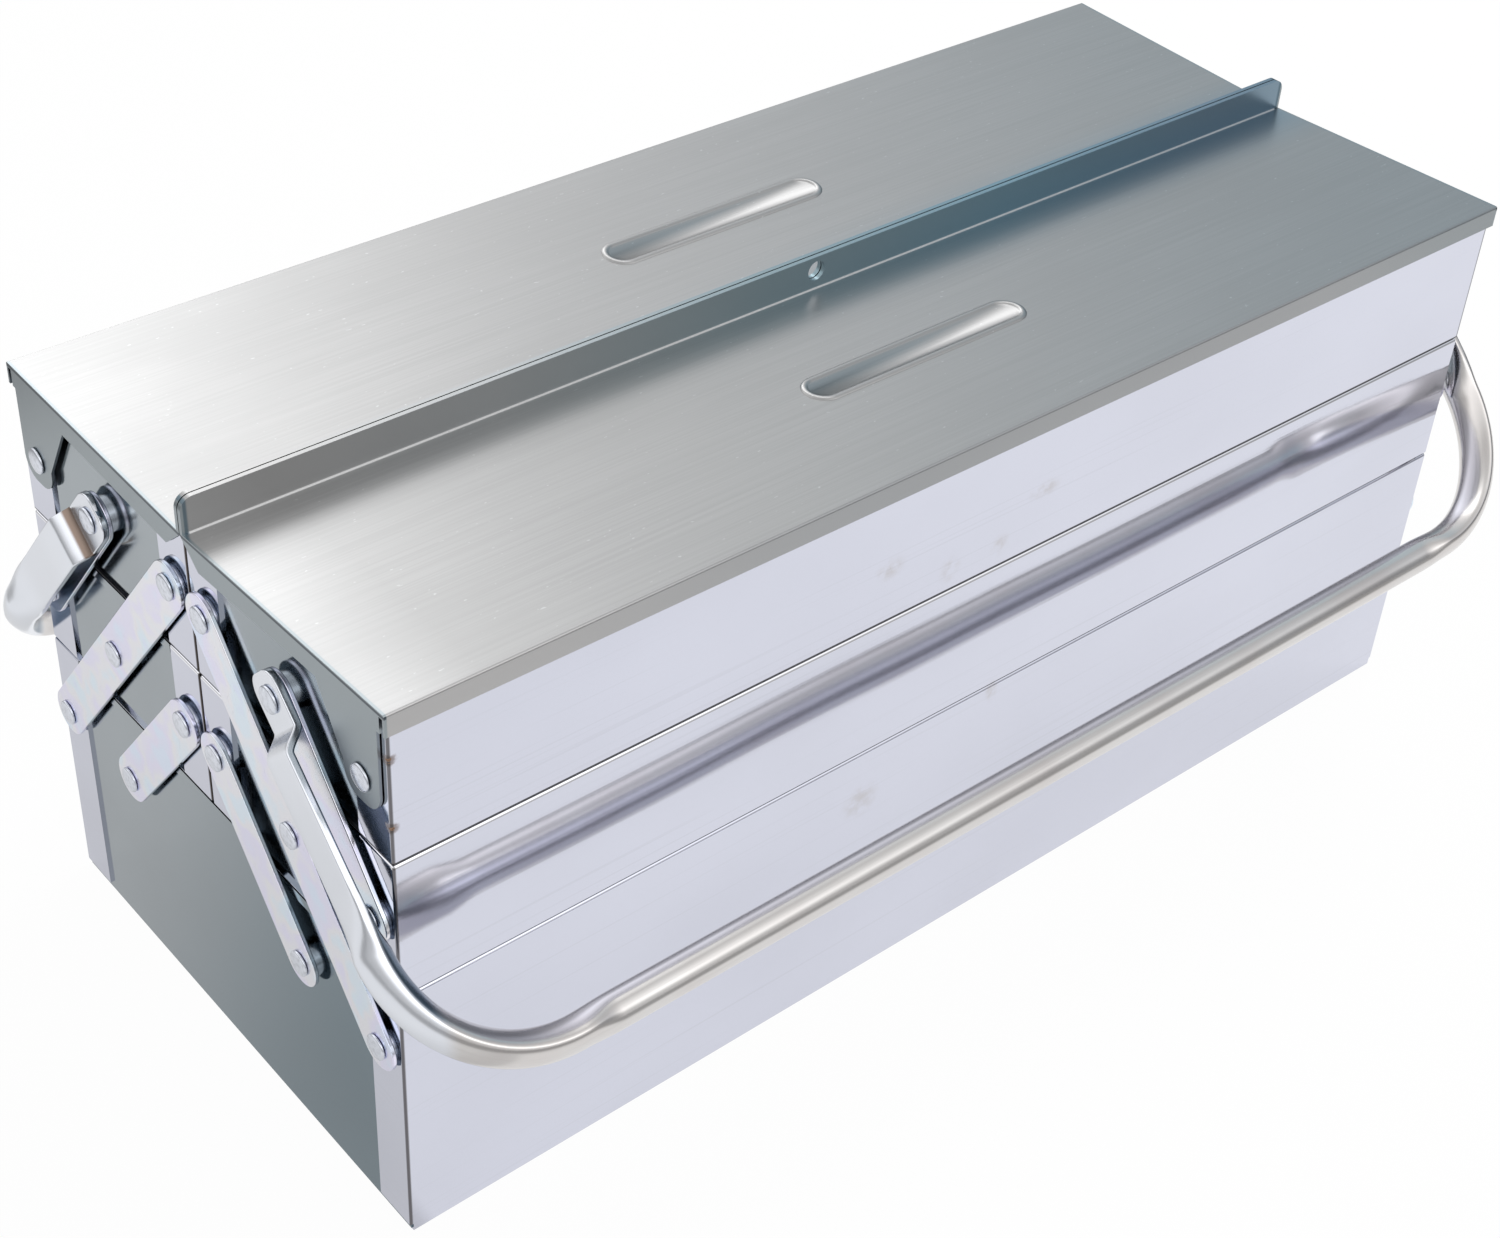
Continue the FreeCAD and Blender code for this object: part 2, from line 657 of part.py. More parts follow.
def handle(label, front):
    """A bent tube across the box, its two ends flattened and riveted to the top tray."""
    reach = number("handle_reach")
    bend = number("handle_bend")
    place = number("leg_place")
    tube = number("handle_tube")
    flattened = number("bend_width"), number("bend_thickness")
    outwards = FreeCAD.Vector(1, 0, 0)
    down = FreeCAD.Vector(0, 0, -1)
    bend_start = FreeCAD.Vector(place, 0, bend - reach)
    bend_centre = FreeCAD.Vector(place - bend, 0, bend - reach)
    ring = tube_section(bend_start, outwards, *flattened)
    corner = Part.Face(ring).revolve(bend_centre, FreeCAD.Vector(0, 1, 0), 90)
    round_start = place - bend - number("bend_run_out")
    run_out = Part.makeLoft([
        tube_section(FreeCAD.Vector(place - bend, 0, -reach), down, *flattened),
        tube_section(FreeCAD.Vector(round_start, 0, -reach), down, tube, tube),
    ], True, True)
    grip = Part.makeCylinder(tube / 2, round_start, FreeCAD.Vector(0, 0, -reach), outwards)
    half = handle_leg().fuse([corner, run_out, grip])
    other_half = half.mirror(FreeCAD.Vector(0, 0, 0), FreeCAD.Vector(1, 0, 0))
    item = document.addObject("Part::Feature", label)
    item.Label = label
    item.Shape = half.fuse(other_half).removeSplitter()
    side = -1 if front else 1
    name = "front_handle_angle" if front else "rear_handle_angle"
    centre = FreeCAD.Vector(0, side * number("tray_centre"), number("top_pivot_height"))
    turn = FreeCAD.Rotation(FreeCAD.Vector(1, 0, 0), side * number(name))
    item.Placement = FreeCAD.Placement(centre, turn)
    return item


# The whole box

nodes = []


def keep(item):
    nodes.append(item)
    return item


arm_rivet = rivet("arm_rivet_pattern", "arm_outside + side_play")
handle_rivet = rivet("handle_rivet_pattern", "strip_face + strip_thickness + side_play")
lid_rivet = rivet("lid_rivet_pattern", "lid_end + side_play")
flange_washer = washer("flange_washer_pattern", "half_length")
plate_washer = washer("plate_washer_pattern", "half_length - wall")

base_shell = keep(tray_shell("bottom_tray_shell", BASE, [BASE_PIVOTS[0], BASE_PIVOTS[3]]))
relieve_base_corners(base_shell)
keep(tray_end("bottom_tray_left_end", BASE, BASE_PIVOTS, left=True))
keep(tray_end("bottom_tray_right_end", BASE, BASE_PIVOTS, left=False))
keep(group("bottom_tray_rivets", [(arm_rivet, BASE_PIVOTS)]))
keep(group("bottom_tray_washers", [
    (flange_washer, [BASE_PIVOTS[0], BASE_PIVOTS[3]]),
    (plate_washer, BASE_PIVOTS[1:3]),
]))

for side in ("front", "rear"):
    turned = side == "rear"
    middle_parts = [
        tray_shell(f"{side}_middle_tray_shell", MIDDLE, [MIDDLE_PIVOTS[0], MIDDLE_PIVOTS[2]]),
        group(f"{side}_middle_tray_rivets", [(arm_rivet, MIDDLE_PIVOTS)]),
        group(f"{side}_middle_tray_washers", [
            (flange_washer, [MIDDLE_PIVOTS[0], MIDDLE_PIVOTS[2]]),
            (plate_washer, [MIDDLE_PIVOTS[1]]),
        ]),
        tray_shell(f"{side}_top_tray_shell", TOP, [TOP_PIVOTS[1], LID_HINGE]),
        group(f"{side}_top_tray_rivets", [(arm_rivet, [TOP_PIVOTS[1]])]),
        group(f"{side}_top_tray_washers", [
            (flange_washer, [TOP_PIVOTS[1]]),
            (plate_washer, [TOP_PIVOTS[0]]),
        ]),
        group(f"{side}_handle_rivets", [(handle_rivet, [TOP_PIVOTS[0]])]),
        group(f"{side}_lid_rivets", [(lid_rivet, [LID_HINGE])]),
        lid(f"{side}_lid"),
    ]
    for end in ("left", "right"):
        left = (end == "left") != turned
        middle_parts.append(tray_end(f"{side}_middle_tray_{end}_end", MIDDLE, MIDDLE_PIVOTS, left))
        middle_parts.append(tray_end(
            f"{side}_top_tray_{end}_end", TOP, TOP_PIVOTS + [LID_HINGE], left))
    for part in middle_parts:
        turn_about_upright(keep(part), turned)
    for end in ("left", "right"):
        place = (not turned, end == "left")
        keep(flat_arm(f"{side}_long_arm_{end}", 2, *place, "outer_pivot", "base_pivot_height"))
        keep(flat_arm(f"{side}_lower_link_{end}", 1, *place, "tray_centre", "base_pivot_height"))
        keep(flat_arm(f"{side}_upper_link_{end}", 1, *place, "outer_pivot", "middle_pivot_height"))
    keep(handle(f"{side}_handle", not turned))

document.recompute()
for item in document.Objects:
    if "Invalid" in item.State or "Error" in item.State:
        raise ValueError(item.Label + " did not compute")

os.makedirs(OUT, exist_ok=True)
for item in nodes:
    if item.Shape.isNull() or not item.Shape.isValid():
        raise ValueError(item.Label + " has no valid shape")
    item.Shape.exportStep(os.path.join(OUT, item.Label + ".step"))
    box = item.Shape.BoundBox
    print(item.Label, len(item.Shape.Solids), round(item.Shape.Volume), [
        round(value, 1) for value in (box.XMin, box.YMin, box.ZMin, box.XMax, box.YMax, box.ZMax)])
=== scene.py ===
import json
import math

import bmesh
import bpy
from mathutils import Matrix, Vector


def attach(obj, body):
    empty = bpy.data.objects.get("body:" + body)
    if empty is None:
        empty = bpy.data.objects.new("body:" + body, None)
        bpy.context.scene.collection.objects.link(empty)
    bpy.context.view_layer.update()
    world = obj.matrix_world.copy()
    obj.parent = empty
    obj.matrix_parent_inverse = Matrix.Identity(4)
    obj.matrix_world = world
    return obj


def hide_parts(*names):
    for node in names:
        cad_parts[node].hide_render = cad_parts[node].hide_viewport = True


bl_info = {
    "name": "Cantilever Tool Box",
    "version": (1, 0, 0),
    "blender": (4, 5, 0),
    "location": "3D View > Sidebar > Tool Box",
    "description": "Dresses the packed cantilever tool box: sheet finishes, rivets, welds, studio",
    "category": "Object",
}

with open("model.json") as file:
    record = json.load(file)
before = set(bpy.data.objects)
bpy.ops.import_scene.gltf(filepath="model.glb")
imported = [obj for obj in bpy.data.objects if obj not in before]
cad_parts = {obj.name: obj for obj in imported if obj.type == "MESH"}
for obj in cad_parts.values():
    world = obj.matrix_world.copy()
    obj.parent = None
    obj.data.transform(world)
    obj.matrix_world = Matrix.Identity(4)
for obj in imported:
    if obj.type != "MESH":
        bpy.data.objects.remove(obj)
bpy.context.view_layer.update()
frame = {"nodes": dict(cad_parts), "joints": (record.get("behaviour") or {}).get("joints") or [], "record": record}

SIDES = {"front": -1, "rear": 1}
TUBE_MAP = "along_tube"
# Points nearer than this are one point.
SAME_POINT = 1e-6


# Sizes and colours


class ToolBoxSizes(bpy.types.PropertyGroup):
    """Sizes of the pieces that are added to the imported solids."""

    rivet_sides: bpy.props.IntProperty(
        name="Rivet sides", description="Number of sides of a rivet", default=48, min=12)
    front_angle: bpy.props.FloatProperty(
        name="Front handle angle", description="Angle of the front handle out of the vertical",
        default=math.radians(45), subtype="ANGLE")
    rear_angle: bpy.props.FloatProperty(
        name="Rear handle angle", description="Angle of the rear handle out of the vertical",
        default=math.radians(39.5), subtype="ANGLE")
    tube: bpy.props.FloatProperty(
        name="Handle tube", description="Diameter of the round handle tube",
        default=0.011, unit="LENGTH")
    pad_length: bpy.props.FloatProperty(
        name="Pad length", description="Length of the raised oblong on a lid",
        default=0.086, unit="LENGTH")
    pad_width: bpy.props.FloatProperty(
        name="Pad width", description="Width of the raised oblong on a lid",
        default=0.0135, unit="LENGTH")
    pad_bead: bpy.props.FloatProperty(
        name="Bead width", description="Width of the oblong's rounded bead",
        default=0.0024, unit="LENGTH")
    pad_height: bpy.props.FloatProperty(
        name="Bead height", description="Height of the bead over the lid",
        default=0.0006, unit="LENGTH")
    pad_place: bpy.props.FloatProperty(
        name="Pad place", description="Distance of the oblong from the centre plane",
        default=0.0465, unit="LENGTH")
    weld_radius: bpy.props.FloatProperty(
        name="Weld radius", description="Half the height of a tack weld at a tray corner",
        default=0.0017, unit="LENGTH")


class ToolBoxColours(bpy.types.PropertyGroup):
    """Colours of the finishes."""

    tray: bpy.props.FloatVectorProperty(
        name="Tray sheet", description="Polished sheet of the trays", subtype="COLOR",
        size=3, default=(0.69, 0.705, 0.80), min=0, max=1)
    lid: bpy.props.FloatVectorProperty(
        name="Lid sheet", description="Satin sheet of the lids", subtype="COLOR",
        size=3, default=(0.41, 0.41, 0.41), min=0, max=1)
    end: bpy.props.FloatVectorProperty(
        name="End sheet", description="Duller sheet of the end plates", subtype="COLOR",
        size=3, default=(0.365, 0.405, 0.43), min=0, max=1)
    arm: bpy.props.FloatVectorProperty(
        name="Arms", description="Zinc plating of arms and links", subtype="COLOR",
        size=3, default=(0.80, 0.84, 0.96), min=0, max=1)
    rivet: bpy.props.FloatVectorProperty(
        name="Rivets", description="Plated rivets and washers", subtype="COLOR",
        size=3, default=(0.76, 0.79, 0.86), min=0, max=1)
    handle: bpy.props.FloatVectorProperty(
        name="Handles", description="Satin nickel of the handle tubes", subtype="COLOR",
        size=3, default=(0.70, 0.685, 0.675), min=0, max=1)
    burn: bpy.props.FloatVectorProperty(
        name="Burn", description="Brown of the tack welds and their burns", subtype="COLOR",
        size=3, default=(0.20, 0.125, 0.085), min=0, max=1)
    floor: bpy.props.FloatVectorProperty(
        name="Floor", description="Plain pale floor", subtype="COLOR",
        size=3, default=(0.8, 0.8, 0.8), min=0, max=1)


# Node sums


class Wire:
    """A node's output. A sum of wires and numbers adds its Math nodes."""

    def __init__(self, tree, socket):
        self.tree = tree
        self.socket = socket

    def __add__(self, other):
        return self.tree.function("ADD", self, other)

    def __radd__(self, other):
        return self.tree.function("ADD", other, self)

    def __sub__(self, other):
        return self.tree.function("SUBTRACT", self, other)

    def __mul__(self, other):
        return self.tree.function("MULTIPLY", self, other)


def triple(value):
    """Three numbers of a colour or a scale. A single number stands for three equal ones."""
    return (value,) * 3 if isinstance(value, (int, float)) else tuple(value)


def as_colour(value):
    return value if isinstance(value, Wire) else (*triple(value), 1.0)


def shaded(colour, shares):
    """A colour made darker or lighter by one share, or by one for each channel."""
    return tuple(min(1.0, c * share) for c, share in zip(colour, triple(shares)))


class Tree:
    """The nodes of one finish, or of the studio's world."""

    def __init__(self, owner):
        owner.use_nodes = True
        self.nodes = owner.node_tree.nodes
        self.links = owner.node_tree.links
        self.nodes.clear()

    def node(self, kind, settings=None, inputs=None, output=0):
        """Add a node: its settings first, then the values or wires of its sockets."""
        made = self.nodes.new(kind)
        for name, value in (settings or {}).items():
            if name == "stops":
                self.set_stops(made.color_ramp, value)
            elif name == "interpolation":
                made.color_ramp.interpolation = value
            else:
                setattr(made, name, value)
        for name, value in (inputs or {}).items():
            socket = made.inputs[name]
            if isinstance(value, Wire):
                self.links.new(value.socket, socket)
            else:
                socket.default_value = value
        if not made.outputs:
            return None
        return Wire(self, made.outputs[output])

    @staticmethod
    def set_stops(ramp, stops):
        ramp.elements.remove(ramp.elements[-1])
        for index, (place, colour) in enumerate(stops):
            stop = ramp.elements[0] if index == 0 else ramp.elements.new(place)
            stop.position = place
            stop.color = as_colour(colour)

    def vector(self, operation, first, second=(0, 0, 0), output="Vector"):
        return self.node("ShaderNodeVectorMath", {"operation": operation},
                         {0: first, 1: second}, output)

    def place(self):
        """A point's place on the resting box, in metres."""
        return self.node("ShaderNodeTexCoord", output="Object")

    def along_tube(self):
        """Metres along a tube, and the cosine and sine of the way around it."""
        length, around, _ = self.axes(
            self.node("ShaderNodeUVMap", {"uv_map": TUBE_MAP}))
        turn = around * (2 * math.pi)
        return self.node("ShaderNodeCombineXYZ", inputs={
            0: length, 1: self.function("COSINE", turn), 2: self.function("SINE", turn)})

    def function(self, operation, *values):
        return self.node("ShaderNodeMath", {"operation": operation}, dict(enumerate(values)))

    def axes(self, vector):
        split = self.node("ShaderNodeSeparateXYZ", inputs={0: vector})
        return [Wire(self, socket) for socket in split.socket.node.outputs]

    def distances(self, place):
        """Distances from the middle planes, outwards along the box and aside, and up."""
        return self.axes(self.vector("ABSOLUTE", place))

    def noise(self, vector, scale, detail=2.0, roughness=0.5):
        """Noise around a half; scale gives its waves per metre on each axis."""
        return self.node("ShaderNodeTexNoise", inputs={
            "Vector": self.vector("MULTIPLY", vector, triple(scale)), "Scale": 1.0,
            "Detail": detail, "Roughness": roughness})

    def fade(self, value, low, high, start=0.0, end=1.0):
        """Smooth change from start to end while a value goes from low to high."""
        return self.node("ShaderNodeMapRange", {"interpolation_type": "SMOOTHSTEP"}, {
            "Value": value, "From Min": low, "From Max": high, "To Min": start,
            "To Max": end})

    def band(self, value, begins, full, fades, ends):
        """1 along a band of a value, 0 beside it, with soft edges."""
        return self.fade(value, begins, full) * self.fade(value, ends, fades)

    def region(self, values, limits):
        """1 where every value is past its two limits."""
        first, *others = [self.fade(value, *pair) for value, pair in zip(values, limits)]
        return math.prod(others, start=first)

    def mixed(self, factor, first, second, blend="MIX"):
        """A colour between two, by a factor from 0 to 1."""
        return self.node("ShaderNodeMix", {"data_type": "RGBA", "blend_type": blend},
                         {0: factor, 6: as_colour(first), 7: as_colour(second)}, 2)

    def painted(self, colour, *layers):
        """A colour under layers, each a mask and the colour that it brings."""
        for mask, layer in layers:
            colour = self.mixed(mask, colour, layer)
        return colour

    def ramp(self, value, stops, interpolation="LINEAR"):
        """A colour that follows a value from stop to stop."""
        return self.node("ShaderNodeValToRGB",
                         {"interpolation": interpolation, "stops": stops}, {0: value})

    def spot(self, place, centre, size):
        """1 at a centre, falling to 0 at its edge; size gives its half axes in metres."""
        offset = self.vector("SUBTRACT", place, centre)
        relative = self.vector("DIVIDE", offset, size)
        distance = self.vector("LENGTH", relative, output="Value")
        return self.fade(distance, 0.0, 1.0, 1.0, 0.0)

    def spots(self, place, centres_and_sizes):
        first, *others = [self.spot(place, *spot) for spot in centres_and_sizes]
        return sum(others, first)

    def bump(self, height, distance, normal=None):
        inputs = {"Height": height, "Distance": distance, "Strength": 1.0}
        if normal is not None:
            inputs["Normal"] = normal
        return self.node("ShaderNodeBump", inputs=inputs)

    def rays(self):
        """Masks of the rays straight from the camera and of the mirrored ones."""
        path = self.node("ShaderNodeLightPath").socket.node.outputs
        straight = Wire(self, path["Is Camera Ray"]) + Wire(self, path["Is Transmission Ray"])
        return straight, Wire(self, path["Is Glossy Ray"])

    def shine(self, kind, colour, strength=1.0):
        """A shader that gives light: Emission on a surface, Background in a world."""
        return self.node("ShaderNode" + kind, inputs={
            "Color": as_colour(colour), "Strength": strength})

    def blended(self, factor, first, second):
        """A shader between two, by a factor from 0 to 1."""
        return self.node("ShaderNodeMixShader", inputs={0: factor, 1: first, 2: second})

    def surface(self, shader):
        self.node("ShaderNodeOutputMaterial", inputs={"Surface": shader})

    def metal(self, colour, roughness, normal, metallic=1.0):
        self.surface(self.node("ShaderNodeBsdfPrincipled", inputs={
            "Base Color": colour, "Roughness": roughness, "Normal": normal,
            "Metallic": metallic}))


def new_finish(name):
    finish = bpy.data.materials.new(name)
    return finish, Tree(finish)


# Finishes
#
# Marks are placed in metres on the resting box. Two limits give where a mark begins and where
# it is full, four give where it begins, is full, fades and ends.

# Where the folds of the front top tray are tacked, and the half axes of the burn around a tack.
TACKS = ((-0.2150, -0.0935, 0.1777), (-0.2150, -0.0935, 0.1556))
BURN_SIZE = (0.0045, 0.0045, 0.0035)
# Faint brown finger marks on the front: centre and half axes.
SMUDGES = (
    ((-0.050, -0.0935, 0.162), (0.007, 0.05, 0.005)),
    ((-0.0255, -0.0935, 0.151), (0.0055, 0.05, 0.006)),
    ((-0.0055, -0.0935, 0.151), (0.005, 0.05, 0.005)),
    ((0.011, -0.0935, 0.164), (0.008, 0.05, 0.004)),
    ((-0.052, -0.0935, 0.076), (0.009, 0.05, 0.008)),
    ((0.000, -0.0935, 0.093), (0.004, 0.05, 0.006)),
)
SMUDGE_COLOUR = (0.45, 0.40, 0.34)
DRAWN_COLOUR = (0.42, 0.43, 0.47)
# Heights of the painted shade along the folds at the bottoms of the top and middle trays,
# and of the painted highlight on the middle tray's rim.
TRAY_FOLDS = ((0.1427, 0.1428, 0.1438, 0.1440), (0.0955, 0.0956, 0.0960, 0.0962))
FOLD_SHADE_COLOUR = (0.03, 0.028, 0.032)
TRAY_RIM_HIGHLIGHT = (0.1415, 0.1418, 0.1425, 0.1427)
RIM_HIGHLIGHT_COLOUR = (0.97, 0.97, 1.0)
# Painted shade in the seams at the ends: between the front and rear trays (outwards, aside)
# and at the front's corners (across, deep, up).
MIDDLE_SEAM = ((0.2139, 0.2143), (0.0009, 0.0005))
RIGHT_SEAM = ((0.2137, 0.2142), (-0.0925, -0.0930), (0.1428, 0.1434))
LEFT_SEAM = ((-0.2139, -0.2144), (-0.0928, -0.0932))
SEAM_SHADE_COLOUR = (0.07, 0.06, 0.055)


def polished_sheet(colours):
    """Mirror-bright sheet of the trays: a little wavy, with drawn lines, smudges and tack burns,
    painted shade along the folds and seams, and a painted highlight on the middle tray's rim."""
    finish, tree = new_finish("polished_tray_sheet")
    place = tree.place()
    sides = tree.axes(place)
    up = sides[2]
    clouds = tree.noise(place, (9, 9, 14), 3.0)
    drawn = tree.noise(place, (5, 5, 900), 2.0)
    smudge = tree.spots(place, SMUDGES) * tree.fade(tree.noise(place, 260, 3.0), 0.3, 0.7)
    burn = tree.spots(place, [(tack, BURN_SIZE) for tack in TACKS])
    burn = tree.fade(burn + (tree.noise(place, 900, 2.0) - 0.5) * 0.5, 0.25, 0.75)
    fold_shade = tree.band(up, *TRAY_FOLDS[0]) + tree.band(up, *TRAY_FOLDS[1])
    seam_shade = tree.region(tree.distances(place), MIDDLE_SEAM) + (
        tree.region(sides, RIGHT_SEAM) * 0.7 + tree.region(sides, LEFT_SEAM) * 0.8)
    colour = tree.painted(
        colours.tray,
        (tree.fade(clouds, 0.3, 0.7), shaded(colours.tray, 0.955)),
        (tree.fade(drawn, 0.62, 0.72) * 0.10, DRAWN_COLOUR),
        (smudge * 0.42, SMUDGE_COLOUR),
        (burn * 0.6, colours.burn),
        (fold_shade * 0.95, FOLD_SHADE_COLOUR),
        (tree.band(up, *TRAY_RIM_HIGHLIGHT) * 0.8, RIM_HIGHLIGHT_COLOUR),
        (seam_shade, SEAM_SHADE_COLOUR))
    roughness = 0.04 + clouds * 0.045 + smudge * 0.12 + burn * 0.3 + fold_shade * 0.3
    waves = tree.bump(tree.noise(place, (7, 7, 11), 1.0), 0.0009)
    tree.metal(colour, roughness, tree.bump(drawn, 0.000004, waves))
    return finish


SPECK_COLOUR = (0.62, 0.64, 0.64)
# The front lid's sheet (deep), and the painted reflection that changes its brightness from
# the left end (0) to the right end (1).
FRONT_LID = (-0.002, -0.004)
FRONT_LID_REFLECTION = ((0.0, 1.09), (0.055, 0.925), (0.15, 0.91), (0.30, (0.965, 0.965, 0.96)),
                (0.5, 0.99))
# The skirts (aside): painted reflection, its colour at the left end and what it turns to along the box.
SKIRT = (0.0940, 0.0944)
SKIRT_REFLECTION = (0.50, 0.495, 0.495)
SKIRT_REFLECTION_TURNS = (((-0.20, -0.05), (0.41, 0.42, 0.43)), ((0.12, 0.21), (0.34, 0.37, 0.385)))
# Painted reflection of the ridges on the sheet beside them (aside, along).
RIDGE_SIDE = ((0.026, 0.002), (-0.08, 0.20))
RIDGE_SIDE_REFLECTION = (0.27, 0.37, 0.44)
# The ridges: upright part (aside) over the sheet (up), painted reflection colours from the
# left end (0) to the right end (1), painted highlight on the foot (up) and painted shade at the
# ends (outwards, up).
RIDGE_WIDTH = (0.0024, 0.0018)
RIDGE_HEIGHT = (0.1902, 0.1906)
RIDGE_REFLECTIONS = ((0.025, 0.39), (0.21, (0.41, 0.43, 0.44)), (0.45, (0.275, 0.36, 0.395)),
                 (0.70, (0.22, 0.35, 0.42)), (0.95, (0.225, 0.315, 0.39)))
RIDGE_FOOT_HIGHLIGHT = (0.1899, 0.1901, 0.1904, 0.1907)
RIDGE_END = ((0.2138, 0.2146), (0.1895, 0.1900))
RIDGE_END_SHADE = (0.09, 0.15, 0.19)
# The end flanges (outwards) with their painted reflection, and the painted shade along a
# flange's folded edge: depth under the sheet, and outwards.
FLANGE = (0.2151, 0.2155)
FLANGE_REFLECTION = (0.335, 0.375, 0.395)
LID_EDGE = (0.0002, 0.0005, 0.0011, 0.0014)
LID_EDGE_END = (0.2152, 0.2155)
LID_EDGE_SHADE = (0.06, 0.075, 0.09)


def satin_sheet(colours):
    """Satin sheet of the lids: a fine grain along the box, small marks and cloudy areas, with
    painted reflections that change the front lid's brightness along the box and tint its skirts,
    ridges and end flanges, and painted highlight and shade along the ridges and edges."""
    finish, tree = new_finish("satin_lid_sheet")
    place = tree.place()
    along, deep, up = tree.axes(place)
    outwards, aside, _ = tree.distances(place)
    grain = tree.noise(place, (12, 1500, 1500), 3.0, 0.6)
    blotches = tree.noise(place, (14, 22, 22), 3.0, 0.55)
    specks = tree.noise(place, (420, 900, 900), 1.0)
    colour = tree.painted(
        shaded(colours.lid, 0.955),
        (tree.fade(grain, 0.3, 0.7), shaded(colours.lid, 1.04)),
        (tree.fade(blotches, 0.35, 0.7) * 0.35, shaded(colours.lid, 0.9)),
        (tree.fade(specks, 0.74, 0.8) * 0.5, SPECK_COLOUR))
    lid_reflection = tree.ramp(along * 2.3 + 0.485, FRONT_LID_REFLECTION)
    colour = tree.mixed(tree.fade(deep, *FRONT_LID), colour, lid_reflection, "MULTIPLY")
    skirt_reflection = tree.painted(SKIRT_REFLECTION, *[
        (tree.fade(along, *limits), turn) for limits, turn in SKIRT_REFLECTION_TURNS])
    upright = tree.fade(aside, *RIDGE_WIDTH)
    middle, slope = lid_surface("rear_lid", 0.0)
    below = middle + aside * math.tan(slope) - up
    colour = tree.painted(
        colour,
        (tree.fade(aside, *SKIRT), skirt_reflection),
        (tree.region((aside, along), RIDGE_SIDE) * 0.7, RIDGE_SIDE_REFLECTION),
        (tree.fade(up, *RIDGE_HEIGHT) * upright, tree.ramp(along * 2.5 + 0.5, RIDGE_REFLECTIONS)),
        (tree.band(up, *RIDGE_FOOT_HIGHLIGHT) * upright * 0.65, 0.85),
        (tree.region((outwards, up), RIDGE_END) * upright * 0.8, RIDGE_END_SHADE),
        (tree.fade(outwards, *FLANGE), FLANGE_REFLECTION),
        (tree.band(below, *LID_EDGE) * tree.fade(outwards, *LID_EDGE_END) * 0.9,
         LID_EDGE_SHADE))
    dents = tree.bump(tree.noise(place, (6, 9, 9), 1.0), 0.0006)
    tree.metal(colour, 0.25 + grain * 0.05 + blotches * 0.06,
               tree.bump(grain, 0.0000035, dents))
    return finish


# Painted shade: how far the end plates turn darker towards their lower front corner.
PLATE_SHADE_REACH = (0.085, -0.05)
PLATE_SHADE_COLOUR = (0.155, 0.215, 0.25)


def plate_sheet(colours):
    """Duller, bluish sheet of the end plates, with painted shade towards their lower front corner."""
    finish, tree = new_finish("mill_end_sheet")
    place = tree.place()
    _, deep, up = tree.axes(place)
    clouds = tree.noise(place, 20, 3.0)
    grain = tree.noise(place, (900, 900, 10), 2.0)
    corner = deep + up * 0.5 + (clouds - 0.5) * 0.02
    colour = tree.painted(
        colours.end,
        (tree.fade(corner, *PLATE_SHADE_REACH), PLATE_SHADE_COLOUR),
        (tree.fade(clouds, 0.3, 0.7) * 0.07, 0.0))
    dents = tree.bump(tree.noise(place, 9, 1.0), 0.0004)
    tree.metal(colour, 0.085 + clouds * 0.05 + grain * 0.02,
               tree.bump(grain, 0.000003, dents))
    return finish


# Faint pink, yellow and blue tints of the zinc, and its grey pits.
ZINC_TINTS = ((0.30, (0.74, 0.84, 1.0)), (0.42, (0.84, 0.78, 0.96)), (0.52, (0.90, 0.87, 0.86)),
              (0.62, (0.76, 0.89, 0.95)), (0.74, (0.72, 0.79, 1.0)))
PIT_COLOUR = (0.42, 0.45, 0.50)
# Painted shade on the backs of the arms (outwards) and of the handles' flattened ends.
ARM_BACK = (0.21635, 0.21600)
BACK_SHADE_COLOUR = (0.14, 0.19, 0.25)


def zinc_plating(colours):
    """Zinc plating of the arms: pale, with faint tints, small pits and painted shade on the backs."""
    finish, tree = new_finish("zinc_arm_plating")
    place = tree.place()
    tint = tree.noise(place, 60, 2.0)
    pits = tree.noise(place, 1300, 2.0)
    outwards, _, _ = tree.distances(place)
    colour = tree.painted(
        colours.arm,
        (0.6, tree.ramp(tint, ZINC_TINTS, "EASE")),
        (tree.fade(pits, 0.66, 0.74) * 0.3, PIT_COLOUR),
        (tree.fade(outwards, *ARM_BACK), BACK_SHADE_COLOUR))
    dents = tree.bump(tree.noise(place, 50, 1.0), 0.0001)
    tree.metal(colour, 0.17 + tint * 0.10, tree.bump(pits, 0.00001, dents))
    return finish


def rivet_plating(colours):
    """Plated rivets and washers, slightly struck on top."""
    finish, tree = new_finish("plated_rivets")
    place = tree.place()
    marks = tree.noise(place, 700, 2.0)
    colour = tree.mixed(tree.fade(marks, 0.4, 0.7), colours.rivet, shaded(colours.rivet, 0.85))
    dents = tree.bump(tree.noise(place, 380, 1.0), 0.00006)
    tree.metal(colour, 0.16 + marks * 0.12, dents)
    return finish


TUBE_LINE_COLOUR = (0.5, 0.48, 0.46)
# The legs (outwards) of the handles' left ends (across) get a painted reflection, and their
# backs painted shade: cosine of the way around the tube.
LEG = (0.2140, 0.2185)
LEFT_HALF = (0.05, -0.05)
LEG_BACK = (-0.10, -0.30)
LEG_REFLECTION_COLOUR = (0.80, 0.825, 0.88)
# Brown band on the step of the rear handle's left end: the pivot, the way towards the grip,
# where the band lies on that way, and its limits across and deep.
BROWN_BAND_PIVOT = (-0.2185, 0.0469, 0.1678)
BROWN_BAND_WAY = (0.0, 0.636, -0.772)
BROWN_BAND_REACH = (0.0078, 0.0084, 0.0102, 0.0110)
BROWN_BAND_SIDE = ((-0.215, -0.216), (0.0, 0.02))
BROWN_BAND_COLOUR = (0.22, 0.145, 0.10)


